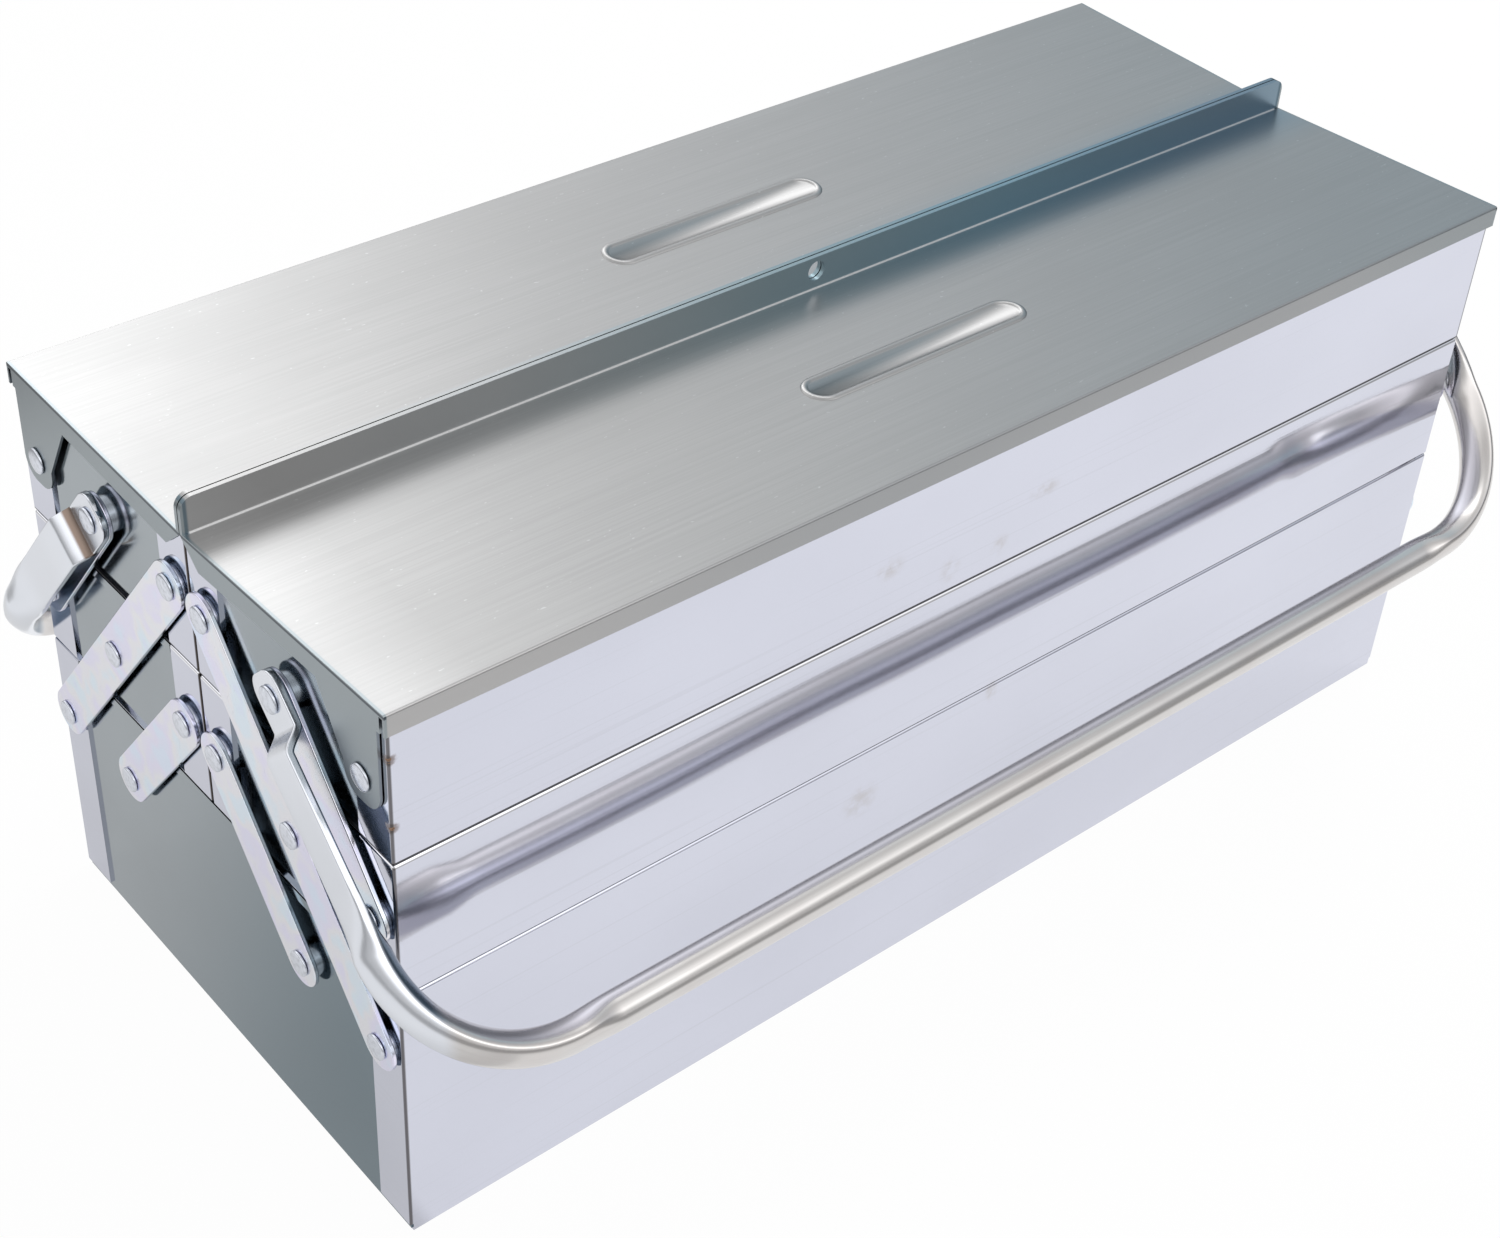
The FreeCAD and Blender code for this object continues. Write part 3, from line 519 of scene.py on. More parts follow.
def satin_tube(colours):
    """Satin nickel tube of the handles, with fine lines around and along and a warm cast, a
    painted reflection on the legs of the left ends and painted shade on their backs.
    """
    finish, tree = new_finish("satin_handle_tube")
    place = tree.place()
    along = tree.along_tube()
    fine = tree.noise(along, (25, 7, 7), 3.0)
    clouds = tree.noise(place, (30, 60, 60), 3.0)
    sides = tree.axes(place)
    outwards, _, _ = tree.distances(place)
    _, facing, _ = tree.axes(along)
    leg = tree.region((outwards, sides[0]), (LEG, LEFT_HALF))
    offset = tree.vector("SUBTRACT", place, BROWN_BAND_PIVOT)
    reach = tree.vector("DOT_PRODUCT", offset, BROWN_BAND_WAY, output="Value")
    brown_band = tree.band(reach, *BROWN_BAND_REACH) * tree.region(sides, BROWN_BAND_SIDE)
    colour = tree.painted(
        colours.handle,
        (tree.fade(clouds, 0.35, 0.7), shaded(colours.handle, (0.95, 0.93, 0.925))),
        (tree.fade(fine, 0.55, 0.75) * 0.16, TUBE_LINE_COLOUR),
        (leg, LEG_REFLECTION_COLOUR),
        (leg * tree.fade(facing, *LEG_BACK), BACK_SHADE_COLOUR),
        (brown_band * 0.9, BROWN_BAND_COLOUR))
    normal = tree.bump(fine, 0.00001, tree.bump(clouds, 0.00006))
    tree.metal(colour, 0.14 + clouds * 0.07 + fine * 0.03, normal)
    return finish


def weld_scale(colours):
    """Brown scale of a tack weld."""
    finish, tree = new_finish("burnt_tack_weld")
    crust = tree.noise(tree.place(), 2200, 3.0)
    colour = tree.mixed(tree.fade(crust, 0.35, 0.65), colours.burn, shaded(colours.burn, 1.9))
    tree.metal(colour, 0.45 + crust * 0.2, tree.bump(crust, 0.0001), 0.6)
    return finish


FINISHES = {
    "tray_sheet": polished_sheet,
    "lid_sheet": satin_sheet,
    "end_sheet": plate_sheet,
    "zinc_plated_arm": zinc_plating,
    "rivet_steel": rivet_plating,
    "handle_tube": satin_tube,
    "burn": weld_scale,
}


def finish_of(slot):
    """The finish of a slot, made the first time it is asked for."""
    key = "finish_" + slot
    scene = bpy.context.scene
    if key not in scene:
        scene[key] = FINISHES[slot](scene.tool_box_colours).name
    return bpy.data.materials[scene[key]]


def slot_of(node):
    if node.endswith("_shell"):
        return "tray_sheet"
    if node.endswith("_lid"):
        return "lid_sheet"
    if node.endswith("_end"):
        return "end_sheet"
    if "_arm_" in node or "_link_" in node:
        return "zinc_plated_arm"
    if node.endswith("_handle"):
        return "handle_tube"
    return "rivet_steel"


# Modelling helpers


def select_only(*objects):
    """Select these objects and make the first one active."""
    bpy.ops.object.select_all(action="DESELECT")
    for obj in objects:
        obj.select_set(True)
    bpy.context.view_layer.objects.active = objects[0]


def apply_places(*objects):
    """Put the places of objects into their meshes."""
    select_only(*objects)
    bpy.ops.object.transform_apply(location=True, rotation=True, scale=True)


def edit_all():
    """Start to edit the active object with everything selected."""
    bpy.ops.object.mode_set(mode="EDIT")
    bpy.ops.mesh.select_all(action="SELECT")


def end_edit():
    """Turn all faces outwards and leave the edited object."""
    bpy.ops.mesh.select_all(action="SELECT")
    bpy.ops.mesh.normals_make_consistent(inside=False)
    bpy.ops.object.mode_set(mode="OBJECT")


def settled(obj, name, slot, body):
    """Put a finished piece's place into its mesh, name it and let it ride."""
    apply_places(obj)
    obj.name = name
    obj.data.name = name
    obj.data.materials.clear()
    obj.data.materials.append(finish_of(slot))
    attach(obj, body)
    return obj


def turned(profile, sides):
    """A closed turned piece along X: profile lists (place along X, radius)."""
    place, radius = profile[0]
    bpy.ops.object.select_all(action="DESELECT")
    bpy.ops.mesh.primitive_circle_add(
        vertices=sides, radius=radius, fill_type="NGON",
        location=(place, 0, 0), rotation=(0, math.pi / 2, 0))
    obj = bpy.context.object
    apply_places(obj)
    edit_all()
    for next_place, next_radius in profile[1:]:
        bpy.ops.mesh.extrude_region_move(
            TRANSFORM_OT_translate={"value": (next_place - place, 0, 0)})
        ratio = next_radius / radius
        bpy.ops.transform.resize(value=(1, ratio, ratio), center_override=(next_place, 0, 0))
        place, radius = next_place, next_radius
    end_edit()
    return obj


def loose_boxes(node):
    """Lowest and highest corner of each separate solid of a CAD node."""
    mesh = bmesh.new()
    mesh.from_mesh(frame["nodes"][node].data)
    bmesh.ops.remove_doubles(mesh, verts=mesh.verts, dist=SAME_POINT)
    seen = set()
    boxes = []
    for start in mesh.verts:
        if start in seen:
            continue
        island = [start]
        seen.add(start)
        for vert in island:
            for edge in vert.link_edges:
                other = edge.other_vert(vert)
                if other not in seen:
                    seen.add(other)
                    island.append(other)
        low = Vector(min(v.co[axis] for v in island) for axis in range(3))
        high = Vector(max(v.co[axis] for v in island) for axis in range(3))
        boxes.append((low, high))
    mesh.free()
    return boxes


def body_of_node(node):
    return next(body for body, nodes in frame["record"]["behaviour"]["bodies"].items()
                if node in nodes)


def joined(parts):
    """One piece of several, with their places in its mesh."""
    apply_places(*parts)
    bpy.ops.object.join()
    return parts[0]


def smooth(way):
    """Eased share of a way from 0 to 1."""
    return way * way * (3 - 2 * way)


def between(first, last, share):
    """The value at a share of the way from the first to the last."""
    return first + (last - first) * share


def lid_surface(lid, y):
    """Height of a lid's top face at a distance across the box, and its slope."""
    triangles = [p for p in frame["nodes"][lid].data.polygons
                 if p.normal.z > 0.99 and p.area > 1e-3]
    if not triangles:
        raise RuntimeError(f"{lid} has no top face")
    face = max(triangles, key=lambda p: p.area)
    corner = frame["nodes"][lid].data.vertices[face.vertices[0]].co
    normal = face.normal
    height = corner.z - normal.y / normal.z * (y - corner.y)
    return height, -math.atan2(normal.y, normal.z)


# Operators


class TOOLBOX_OT_sheet_finishes(bpy.types.Operator):
    """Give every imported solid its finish"""

    bl_idname = "toolbox.sheet_finishes"
    bl_label = "Sheet, Arm and Handle Finishes"

    def execute(self, context):
        for name, obj in frame["nodes"].items():
            obj.data.materials.clear()
            obj.data.materials.append(finish_of(slot_of(name)))
        return {"FINISHED"}


class TOOLBOX_OT_rivets(bpy.types.Operator):
    """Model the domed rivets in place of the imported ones"""

    bl_idname = "toolbox.rivets"
    bl_label = "Domed Rivets"

    # Head profile: share of the head's height, share of its radius.
    HEAD_SHARES = ((0.0, 0.92), (0.10, 0.975), (0.24, 1.0), (0.48, 0.995), (0.66, 0.96),
                   (0.77, 0.90), (0.85, 0.80), (0.91, 0.64), (0.96, 0.44), (0.99, 0.22),
                   (1.0, 0.05))
    HEAD_HEIGHT = 0.0011
    HEAD_RADIUS = 0.004
    SHANK_RADIUS = 0.00225
    TAIL_RADIUS = 0.0035
    TAIL_HEIGHT = 0.001
    TAIL_EDGE = 0.0003
    TAIL_CENTRE = 0.1
    SMOOTH_ANGLE = math.radians(35)

    def one_rivet(self, length, sides):
        """A rivet from its tail at zero to the top of its head, along +X."""
        head = length - self.HEAD_HEIGHT
        profile = [
            (0.0, self.TAIL_RADIUS * self.TAIL_CENTRE), (0.0, self.TAIL_RADIUS - self.TAIL_EDGE),
            (self.TAIL_EDGE, self.TAIL_RADIUS), (self.TAIL_HEIGHT, self.TAIL_RADIUS),
            (self.TAIL_HEIGHT, self.SHANK_RADIUS), (head, self.SHANK_RADIUS),
        ]
        profile += [(head + share * self.HEAD_HEIGHT, radius * self.HEAD_RADIUS)
                    for share, radius in self.HEAD_SHARES]
        rivet = turned(profile, sides)
        bpy.ops.object.shade_smooth_by_angle(angle=self.SMOOTH_ANGLE)
        return rivet

    def execute(self, context):
        sides = context.scene.tool_box_sizes.rivet_sides
        for node in [n for n in frame["nodes"] if n.endswith("_rivets")]:
            boxes = loose_boxes(node)
            low, high = boxes[0]
            pattern = self.one_rivet(high.x - low.x, sides)
            parts = []
            for low, high in boxes:
                part = pattern.copy()
                part.data = pattern.data.copy()
                context.collection.objects.link(part)
                left = low.x < 0
                middle = (low + high) / 2
                turn = Matrix.Rotation(math.pi if left else 0, 4, "Z")
                start = high.x if left else low.x
                part.matrix_world = Matrix.Translation((start, middle.y, middle.z)) @ turn
                parts.append(part)
            bpy.data.objects.remove(pattern)
            piece = settled(joined(parts), node + "_domed", "rivet_steel", body_of_node(node))
            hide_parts(node)
        return {"FINISHED"}


class TOOLBOX_OT_handles(bpy.types.Operator):
    """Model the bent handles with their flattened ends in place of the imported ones"""

    bl_idname = "toolbox.handles"
    bl_label = "Bent Handles"

    # Places in metres on the right half, in the handle's own plane. Reach counts from the
    # pivot towards the grip.
    STRIP_PLACE = 0.2185
    LEG_PLACE = 0.2235
    STRIP_WIDTH = 0.015
    STRIP_THICKNESS = 0.0022
    STRIP_EDGE = 0.0004
    STEP_START = 0.0083
    STEP_END = 0.0147
    FLAT_END = 0.04704
    BEND_START = 0.069068
    BEND_RADIUS = 0.042
    BEND_WIDTH = 0.0142
    BEND_THICKNESS = 0.0102
    RUN_OUT = 0.012
    HOLE_RADIUS = 0.0023
    # More sections: reaches on the flat strip before its step, places on the straight grip.
    STRIP_REACHES = (0.003, 0.0065)
    GRIP_PLACES = (0.15, 0.12, 0.08, 0.04, 0)
    # The rounded tip: reach from the pivot, share of the width, share of the thickness.
    TIP = ((-0.0075, 0.30, 0.7), (-0.00742, 0.42, 0.9), (-0.0072, 0.54, 1), (-0.0067, 0.67, 1),
           (-0.0060, 0.78, 1), (-0.0050, 0.88, 1), (-0.0038, 0.955, 1), (-0.0024, 0.995, 1),
           (-0.0010, 1, 1))
    # The swell of the leg: share of the way, of the change in width and in thickness.
    SWELL = ((0, 0, 0), (0.2, -0.35, 0.04), (0.4, -0.7, 0.14), (0.6, -0.55, 0.34),
             (0.75, -0.2, 0.58), (0.88, 0.45, 0.82), (1, 1, 1))
    # Squareness of the pressed tube's outline: 2 is an ellipse, less has a crease at each side.
    CREASED = 1.62
    ROUND = 2.0
    # Share of the strip's flat sides where the first point beside their middle lies.
    FLAT_SHARE = 0.6
    QUARTER = 12
    SWELL_STEPS = 16
    STEP_STEPS = 12
    BEND_STEPS = 28
    RUN_STEPS = 10
    HOLE_SIDES = 32
    SMOOTH_ANGLE = math.radians(32)

    def swell_at(self, way):
        """Width and thickness of the leg part of the way from the strip to the bend."""
        for (start, w0, t0), (end, w1, t1) in zip(self.SWELL, self.SWELL[1:]):
            if way <= end:
                break
        share = (way - start) / (end - start)
        return (between(self.STRIP_WIDTH, self.BEND_WIDTH, between(w0, w1, share)),
                between(self.STRIP_THICKNESS, self.BEND_THICKNESS, between(t0, t1, share)))

    def stations(self, tube):
        """Sections of the right half: place, reach, lean, width, thickness, how far the strip
        has become a tube, and squareness."""
        found = []

        def add(*section):
            found.append(section)

        strip = (self.STRIP_WIDTH, self.STRIP_THICKNESS, 0, self.CREASED)
        grip_reach = self.BEND_START + self.BEND_RADIUS
        for reach, width, thickness in self.TIP:
            add(self.STRIP_PLACE, reach, 0, width * self.STRIP_WIDTH,
                thickness * self.STRIP_THICKNESS, 0, self.CREASED)
        for reach in self.STRIP_REACHES:
            add(self.STRIP_PLACE, reach, 0, *strip)
        step = self.LEG_PLACE - self.STRIP_PLACE
        run = self.STEP_END - self.STEP_START
        for index in range(self.STEP_STEPS + 1):
            way = index / self.STEP_STEPS
            slope = 6 * way * (1 - way) * step / run
            add(self.STRIP_PLACE + step * smooth(way), self.STEP_START + run * way,
                -math.atan(slope), *strip)
        add(self.LEG_PLACE, (self.STEP_END + self.FLAT_END) / 2, 0, *strip)
        for index in range(self.SWELL_STEPS + 1):
            way = index / self.SWELL_STEPS
            add(self.LEG_PLACE, between(self.FLAT_END, self.BEND_START, way), 0,
                *self.swell_at(way), smooth(way), self.CREASED)
        for index in range(1, self.BEND_STEPS + 1):
            turn = math.pi / 2 * index / self.BEND_STEPS
            add(self.LEG_PLACE - self.BEND_RADIUS * (1 - math.cos(turn)),
                self.BEND_START + self.BEND_RADIUS * math.sin(turn), turn,
                self.BEND_WIDTH, self.BEND_THICKNESS, 1, self.CREASED)
        for index in range(1, self.RUN_STEPS + 1):
            way = index / self.RUN_STEPS
            share = smooth(way)
            add(self.LEG_PLACE - self.BEND_RADIUS - self.RUN_OUT * way, grip_reach, math.pi / 2,
                between(self.BEND_WIDTH, tube, share),
                between(self.BEND_THICKNESS, tube, share), 1,
                between(self.CREASED, self.ROUND, share))
        for place in self.GRIP_PLACES:
            add(place, grip_reach, math.pi / 2, tube, tube, 1, self.ROUND)
        return found

    def outline(self, width, thickness, pressed, squareness):
        """A section's points: out of the handle's plane goes the width."""
        half_width, half_thickness = width / 2, thickness / 2
        edge = min(self.STRIP_EDGE, half_thickness)
        flat_x, flat_y = half_thickness - edge, half_width - edge
        quarter = []
        for index in range(self.QUARTER + 1):
            if index < 2:
                strip = (half_thickness, flat_y * self.FLAT_SHARE * index)
            elif index > self.QUARTER - 2:
                strip = (flat_x * self.FLAT_SHARE * (self.QUARTER - index), half_width)
            else:
                turn = math.pi / 2 * (index - 2) / (self.QUARTER - 4)
                strip = (flat_x + edge * math.cos(turn), flat_y + edge * math.sin(turn))
            turn = math.pi / 2 * index / self.QUARTER
            tube = (half_thickness * abs(math.cos(turn)) ** (2 / squareness),
                    half_width * math.sin(turn) ** (2 / squareness))
            quarter.append(tuple(between(s, t, pressed) for s, t in zip(strip, tube)))
        back = [(-x, y) for x, y in reversed(quarter[:-1])]
        half = quarter + back
        return half + [(-x, -y) for x, y in half[1:]]

    def swept(self, tube):
        """The whole handle hanging straight down from a pivot at the origin."""
        right = self.stations(tube)
        rows = [(1, station) for station in right]
        rows += [(-1, station) for station in reversed(right[:-1])]
        sides = 4 * self.QUARTER
        bpy.ops.object.select_all(action="DESELECT")
        bpy.ops.mesh.primitive_grid_add(
            x_subdivisions=len(rows) - 1, y_subdivisions=sides, size=1)
        obj = bpy.context.object
        mesh = obj.data
        outlines = [self.outline(*station[3:]) for _, station in rows]
        lengths = [0.0]
        for (side, start), (other, end) in zip(rows, rows[1:]):
            lengths.append(lengths[-1] + math.dist((side * start[0], start[1]),
                                                   (other * end[0], end[1])))
        cells = {}
        for vert in mesh.vertices:
            row = round((vert.co.x + 0.5) * (len(rows) - 1))
            around = round((vert.co.y + 0.5) * sides)
            side, (place, reach, lean, *_) = rows[row]
            out, across = outlines[row][around]
            vert.co = (side * (place + out * math.cos(lean)), across,
                       -(reach + out * math.sin(lean)))
            cells[vert.index] = (lengths[row], around / sides)
        uv_map = mesh.uv_layers.active or mesh.uv_layers.new()
        uv_map.name = TUBE_MAP
        for loop in mesh.loops:
            uv_map.data[loop.index].uv = cells[loop.vertex_index]
        edit_all()
        bpy.ops.mesh.remove_doubles(threshold=SAME_POINT)
        bpy.ops.mesh.fill_holes(sides=sides)
        end_edit()
        return obj

    def drilled(self, obj):
        """Cut the rivet holes through both flattened ends."""
        bpy.ops.object.select_all(action="DESELECT")
        bpy.ops.mesh.primitive_cylinder_add(
            vertices=self.HOLE_SIDES, radius=self.HOLE_RADIUS, depth=3 * self.LEG_PLACE,
            rotation=(0, math.pi / 2, 0))
        drill = bpy.context.object
        cut = obj.modifiers.new("rivet_holes", "BOOLEAN")
        cut.operation = "DIFFERENCE"
        cut.solver = "EXACT"
        cut.object = drill
        select_only(obj)
        bpy.ops.object.modifier_apply(modifier=cut.name)
        bpy.data.objects.remove(drill)
        bpy.ops.object.shade_smooth_by_angle(angle=self.SMOOTH_ANGLE)

    def execute(self, context):
        sizes = context.scene.tool_box_sizes
        angles = {"front": sizes.front_angle, "rear": sizes.rear_angle}
        for side, sign in SIDES.items():
            node = f"{side}_handle"
            pivot = next(joint["pos_m"] for joint in frame["joints"]
                         if joint["name"] == f"{side}_handle_pivot")
            handle = self.swept(sizes.tube)
            self.drilled(handle)
            handle.matrix_world = (Matrix.Translation(pivot)
                                   @ Matrix.Rotation(sign * angles[side], 4, "X"))
            piece = settled(handle, f"{side}_bent_handle", "handle_tube", node)
            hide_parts(node)
        return {"FINISHED"}


class TOOLBOX_OT_lid_pads(bpy.types.Operator):
    """Model the plain raised oblong on each lid"""

    bl_idname = "toolbox.lid_pads"
    bl_label = "Raised Oblongs on the Lids"

    # The bead's section: share of its width at each step inwards, share of its height.
    BEAD_SHARES = ((0.10, 0.45), (0.12, 0.30), (0.14, 0.18), (0.14, 0.07), (0.14, -0.07),
                   (0.12, -0.18), (0.12, -0.30), (0.12, -0.35))
    OUTLINE_POINTS = 64
    FOOT = 0.00004
    SMOOTH_ANGLE = math.radians(40)

    def execute(self, context):
        sizes = context.scene.tool_box_sizes
        for side, sign in SIDES.items():
            lid = f"{side}_lid"
            radius = sizes.pad_width / 2
            bpy.ops.object.select_all(action="DESELECT")
            bpy.ops.mesh.primitive_circle_add(
                vertices=self.OUTLINE_POINTS, radius=radius, fill_type="NGON")
            pad = context.object
            shift = sizes.pad_length / 2 - radius
            for vert in pad.data.vertices:
                vert.co.x += math.copysign(shift, vert.co.x)
            edit_all()
            bpy.ops.mesh.extrude_region_move(
                TRANSFORM_OT_translate={"value": (0, 0, self.FOOT)})
            for width_share, height_share in self.BEAD_SHARES:
                bpy.ops.mesh.inset(thickness=sizes.pad_bead * width_share,
                                   depth=sizes.pad_height * height_share)
            end_edit()
            bpy.ops.object.shade_smooth_by_angle(angle=self.SMOOTH_ANGLE)
            place, slope = lid_surface(lid, sign * sizes.pad_place)
            pad.matrix_world = (Matrix.Translation((0, sign * sizes.pad_place, place))
                                @ Matrix.Rotation(slope, 4, "X"))
            settled(pad, f"{lid}_raised_oblong", "lid_sheet", lid)
        return {"FINISHED"}


class TOOLBOX_OT_tack_welds(bpy.types.Operator):
    """Model the small brown tack welds at the front top tray's left corner"""

    bl_idname = "toolbox.tack_welds"
    bl_label = "Tack Welds"

    # A bead's width and depth as shares of its height, its place off the corner, and how
    # uneven it is across and up.
    FLATNESS = (0.42, 0.40)
    OFF_CORNER = (0.0007, 0.0006)
    UNEVEN = (0.18, 0.15)

    def execute(self, context):
        radius = context.scene.tool_box_sizes.weld_radius
        wide, deep = self.FLATNESS
        swelling, stretching = self.UNEVEN
        beads = []
        for number, (x, y, z) in enumerate(TACKS):
            bpy.ops.object.select_all(action="DESELECT")
            bpy.ops.mesh.primitive_uv_sphere_add(segments=20, ring_count=12, radius=radius)
            bead = context.object
            for vert in bead.data.vertices:
                swell = 1 + swelling * math.sin(7 * vert.co.z / radius + 2 * number)
                vert.co.x *= wide * swell
                vert.co.y *= deep * swell
                vert.co.z *= 1.0 + stretching * math.sin(3 * vert.co.x / radius + number)
            bpy.ops.object.shade_smooth()
            bead.location = (x + self.OFF_CORNER[0], y + self.OFF_CORNER[1], z)
            beads.append(bead)
        piece = settled(joined(beads), "front_tack_welds", "burn", "front_top_tray")
        return {"FINISHED"}


class TOOLBOX_OT_studio(bpy.types.Operator):
    """Set up the pale floor, the soft light and the camera"""

    bl_idname = "toolbox.studio"
    bl_label = "Floor, Light and Camera"

    # The photograph's camera, solved from the box's corners.
    CAMERA_PLACE = (-0.4457976, -0.4692197, 0.5674255)
    CAMERA_RIGHT = (0.7641905, -0.6427157, 0.0541242)
    CAMERA_UP = (0.3649525, 0.5000635, 0.7853319)
    CAMERA_BACK = (-0.5318107, -0.5803904, 0.6167045)
    CAMERA_LENS = 58.67
    SENSOR_WIDTH = 36
    NEAREST = 0.01
    LAMP_PLACE = (1.5, 0.35, 1.7)
    LAMP_SIZE = 1.4
    LAMP_POWER = 26
    PLAIN_LIGHT = 0.8
    FLOOR_HALF = 4.0
    FLOOR_TINT = 0.79
    # How white the floor is, seen straight and in the metal.
    FLOOR_WHITE = (0.97, 0.80)
    # Brightness of the soft light that the metal mirrors, from left (-1) to right (1),
    # behind the box and in front of it.
    SKY_PEAK = 3.4
    REAR_SKY = (
        (-1.0, 1.10), (-0.1, 1.25), (0.10, 2.10), (0.22, 3.20), (0.375, 3.05), (0.405, 1.95),
        (0.43, 1.52), (0.466, 1.24), (0.50, (1.20, 1.21, 1.23)), (0.54, (1.04, 1.05, 1.07)),
        (0.60, (0.90, 0.95, 0.98)), (0.66, (0.76, 0.82, 0.87)), (0.70, (0.64, 0.73, 0.775)),
        (0.76, (0.54, 0.655, 0.73)), (1.0, (0.41, 0.51, 0.57)),
    )
    FRONT_SKY = (
        (-1.0, 1.10), (0.1, 1.50), (0.35, 1.85), (0.45, 1.35), (0.57, 1.00),
        (0.66, (0.78, 0.79, 0.81)), (0.75, (0.55, 0.57, 0.60)), (1.0, (0.45, 0.48, 0.52)),
    )
    # Share of that light from the horizon (0) to overhead (1).
    REAR_HEIGHT = ((0.0, 0.45), (0.15, 0.55), (0.38, 1.0), (0.52, 1.0), (0.60, 0.94),
                   (0.70, 0.90), (0.85, 0.72), (1.0, 0.66))
    FRONT_HEIGHT = ((0.0, 0.50), (0.19, 0.52), (0.30, 0.68), (0.42, 1.08), (0.50, 1.20),
                    (0.60, 1.02), (0.70, 0.90), (0.83, 0.68), (0.90, 0.52), (1.0, 0.50))
    HEIGHT_PEAK = 1.2
    # Where the front side's light turns into the rear side's.
    REAR_SIDE = (-0.12, 0.12)
    # How far the white floor goes before the metal mirrors a darker room.
    WHITE_DEPTH = (0.27, 0.42)
    WHITE_LENGTH = (0.60, 0.90)
    ROOM_SHARE = 0.58
    # Painted shadow of the box on the floor to its left, seen in the metal.
    LEFT_EDGE = (-0.205, -0.213)
    LEFT_PLACES = (-0.215, -0.36)
    LEFT_SHADOW_SHARES = (0.25, 0.08)

    def floor(self, context):
        bpy.ops.object.select_all(action="DESELECT")
        bpy.ops.mesh.primitive_plane_add(size=2 * self.FLOOR_HALF, location=(0, 0, 0))
        floor = context.object
        edit_all()
        bpy.ops.mesh.subdivide(number_cuts=3)
        bpy.ops.object.mode_set(mode="OBJECT")
        floor.name = "pale_floor"
        finish, tree = new_finish("pale_floor")
        straight, glossy = tree.rays()
        place = tree.place()
        colour = tree.mixed(tree.noise(place, 3), context.scene.tool_box_colours.floor,
                            self.FLOOR_TINT)
        lit = tree.node("ShaderNodeBsdfDiffuse", inputs={"Color": colour})
        seen, mirrored = self.FLOOR_WHITE
        pale = tree.blended(straight * seen + glossy * mirrored, lit,
                            tree.shine("Emission", 1.0))
        across, deep, _ = tree.distances(place)
        left, _, _ = tree.axes(place)
        room = tree.function(
            "MAXIMUM", tree.fade(deep, *self.WHITE_DEPTH) * self.ROOM_SHARE,
            tree.fade(across, *self.WHITE_LENGTH) * self.ROOM_SHARE)
        room = tree.function(
            "MAXIMUM", room, tree.fade(left, *self.LEFT_EDGE)
            * tree.fade(left, *self.LEFT_PLACES, *self.LEFT_SHADOW_SHARES))
        tree.surface(tree.blended(glossy * room, pale, tree.shine("Emission", 0.0)))
        floor.data.materials.append(finish)

    def sky(self, context):
        world = bpy.data.worlds.new("studio")
        context.scene.world = world
        tree = Tree(world)
        x, y, z = tree.axes(tree.place())

        def across(stops):
            shares = [((place + 1) / 2, tuple(c / self.SKY_PEAK for c in triple(colour)))
                      for place, colour in stops]
            return tree.ramp(x * 0.5 + 0.5, shares)

        def upwards(stops):
            return tree.ramp(z, [(place, share / self.HEIGHT_PEAK) for place, share in stops])

        rear_side = tree.fade(y, *self.REAR_SIDE)
        overhead = tree.mixed(rear_side, across(self.FRONT_SKY), across(self.REAR_SKY))
        height = tree.mixed(rear_side, upwards(self.FRONT_HEIGHT), upwards(self.REAR_HEIGHT))
        softbox = tree.mixed(1.0, overhead, height, "MULTIPLY")
        straight, glossy = tree.rays()
        above = tree.shine("Background", softbox, self.SKY_PEAK * self.HEIGHT_PEAK)
        light = tree.blended(glossy, tree.shine("Background", 1.0, self.PLAIN_LIGHT), above)
        light = tree.blended(straight, light, tree.shine("Background", 1.0))
        tree.node("ShaderNodeOutputWorld", inputs={"Surface": light})

    def lamp(self, context):
        bpy.ops.object.select_all(action="DESELECT")
        bpy.ops.object.light_add(type="AREA", location=self.LAMP_PLACE)
        lamp = context.object
        lamp.name = "soft_key"
        lamp.data.shape = "DISK"
        lamp.data.size = self.LAMP_SIZE
        lamp.data.energy = self.LAMP_POWER
        lamp.rotation_euler = (-Vector(self.LAMP_PLACE)).to_track_quat("-Z", "Y").to_euler()
        lamp.visible_glossy = False
        lamp.visible_camera = False

    def camera(self, context):
        bpy.ops.object.select_all(action="DESELECT")
        bpy.ops.object.camera_add()
        camera = context.object
        camera.name = "photograph_camera"
        axes = Matrix((self.CAMERA_RIGHT, self.CAMERA_UP, self.CAMERA_BACK)).transposed()
        camera.matrix_world = Matrix.Translation(self.CAMERA_PLACE) @ axes.to_4x4()
        camera.data.lens = self.CAMERA_LENS
        camera.data.sensor_fit = "HORIZONTAL"
        camera.data.sensor_width = self.SENSOR_WIDTH
        camera.data.clip_start = self.NEAREST
        context.scene.camera = camera

    def execute(self, context):
        self.floor(context)
        self.sky(context)
        self.lamp(context)
        self.camera(context)
        context.scene.view_settings.view_transform = "Standard"
        return {"FINISHED"}


class TOOLBOX_PT_panel(bpy.types.Panel):
    """Lists the tool box's pieces, sizes and colours"""

    bl_idname = "TOOLBOX_PT_panel"
    bl_label = "Tool Box"
    bl_space_type = "VIEW_3D"
    bl_region_type = "UI"
    bl_category = "Tool Box"

    def draw(self, context):
        layout = self.layout
        for step in STEPS:
            layout.operator(step.bl_idname)
        for group in (context.scene.tool_box_sizes, context.scene.tool_box_colours):
            box = layout.box()
            for name in group.__annotations__:
                box.prop(group, name)


STEPS = (
    TOOLBOX_OT_studio,
    TOOLBOX_OT_sheet_finishes,
    TOOLBOX_OT_rivets,
    TOOLBOX_OT_handles,
    TOOLBOX_OT_lid_pads,
    TOOLBOX_OT_tack_welds,
)
CLASSES = (ToolBoxSizes, ToolBoxColours, *STEPS, TOOLBOX_PT_panel)


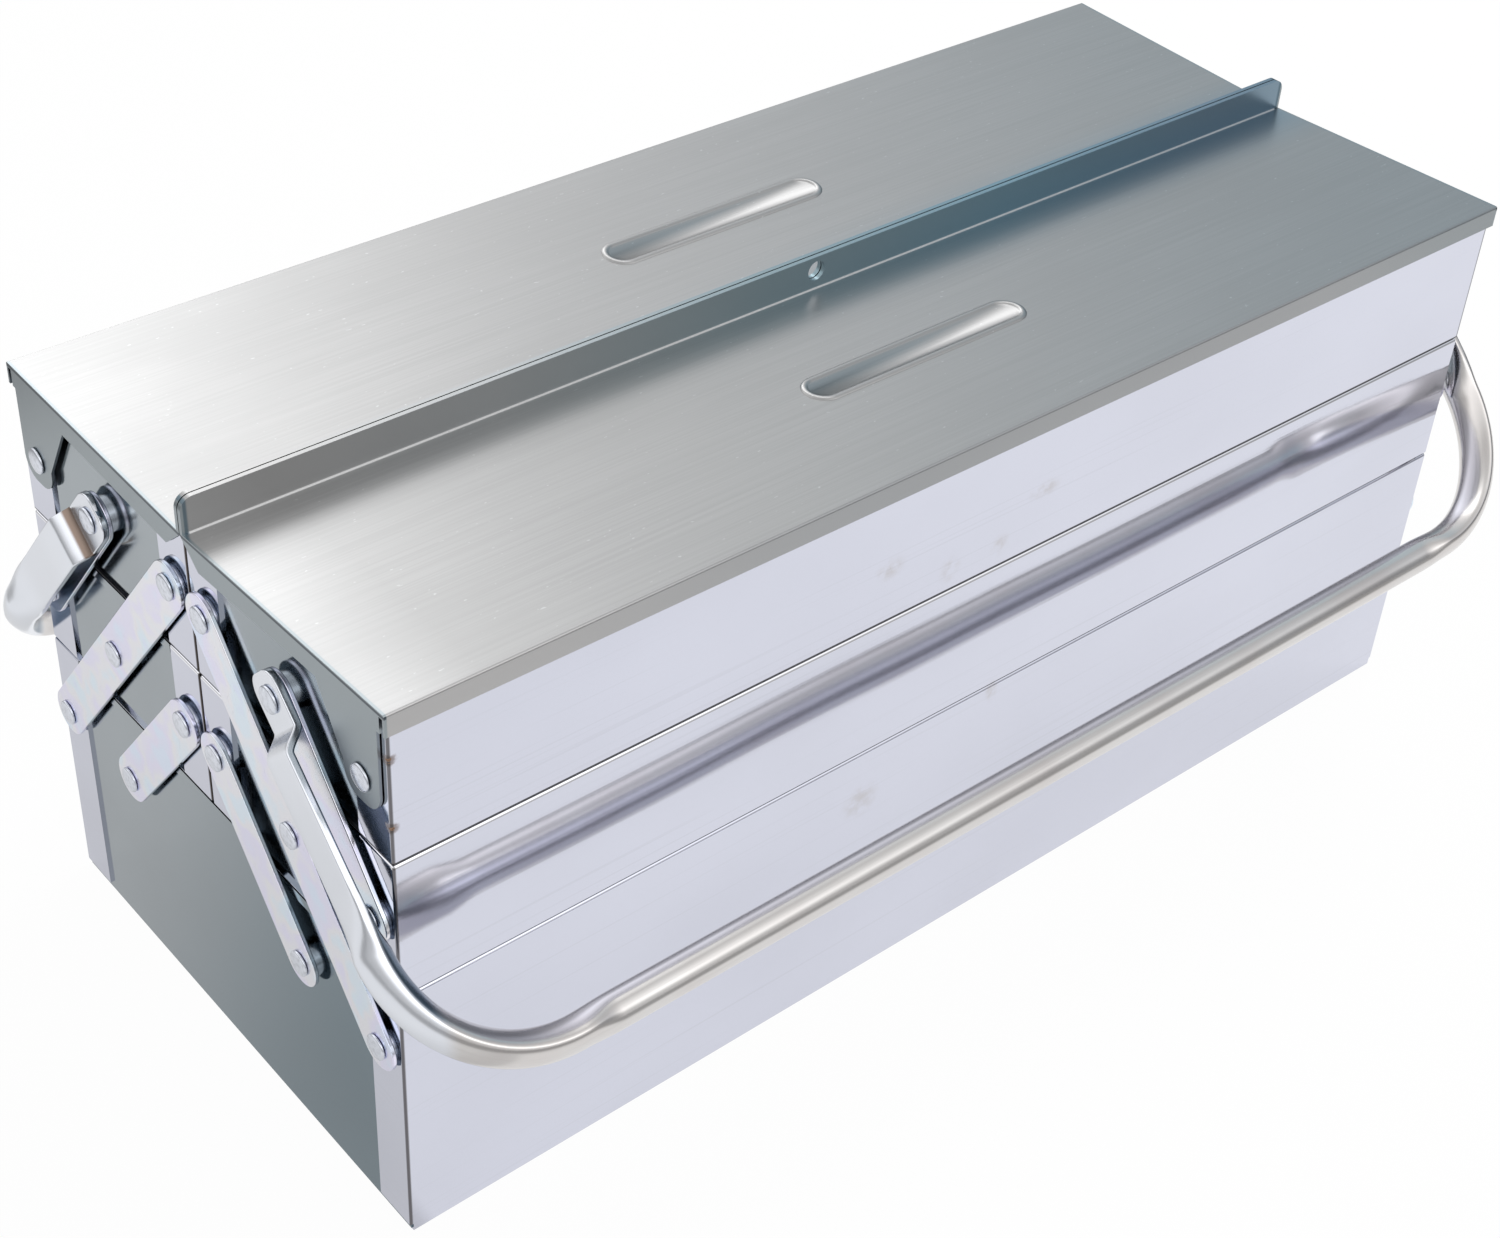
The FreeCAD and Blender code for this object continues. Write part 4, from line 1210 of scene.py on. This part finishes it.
def register():
    for cls in CLASSES:
        bpy.utils.register_class(cls)
    bpy.types.Scene.tool_box_sizes = bpy.props.PointerProperty(type=ToolBoxSizes)
    bpy.types.Scene.tool_box_colours = bpy.props.PointerProperty(type=ToolBoxColours)


def unregister():
    del bpy.types.Scene.tool_box_colours
    del bpy.types.Scene.tool_box_sizes
    for cls in reversed(CLASSES):
        bpy.utils.unregister_class(cls)


def main():
    register()
    bpy.ops.toolbox.studio()
    bpy.ops.toolbox.sheet_finishes()
    bpy.ops.toolbox.rivets()
    bpy.ops.toolbox.handles()
    bpy.ops.toolbox.lid_pads()
    bpy.ops.toolbox.tack_welds()


if __name__ == "__main__":
    main()
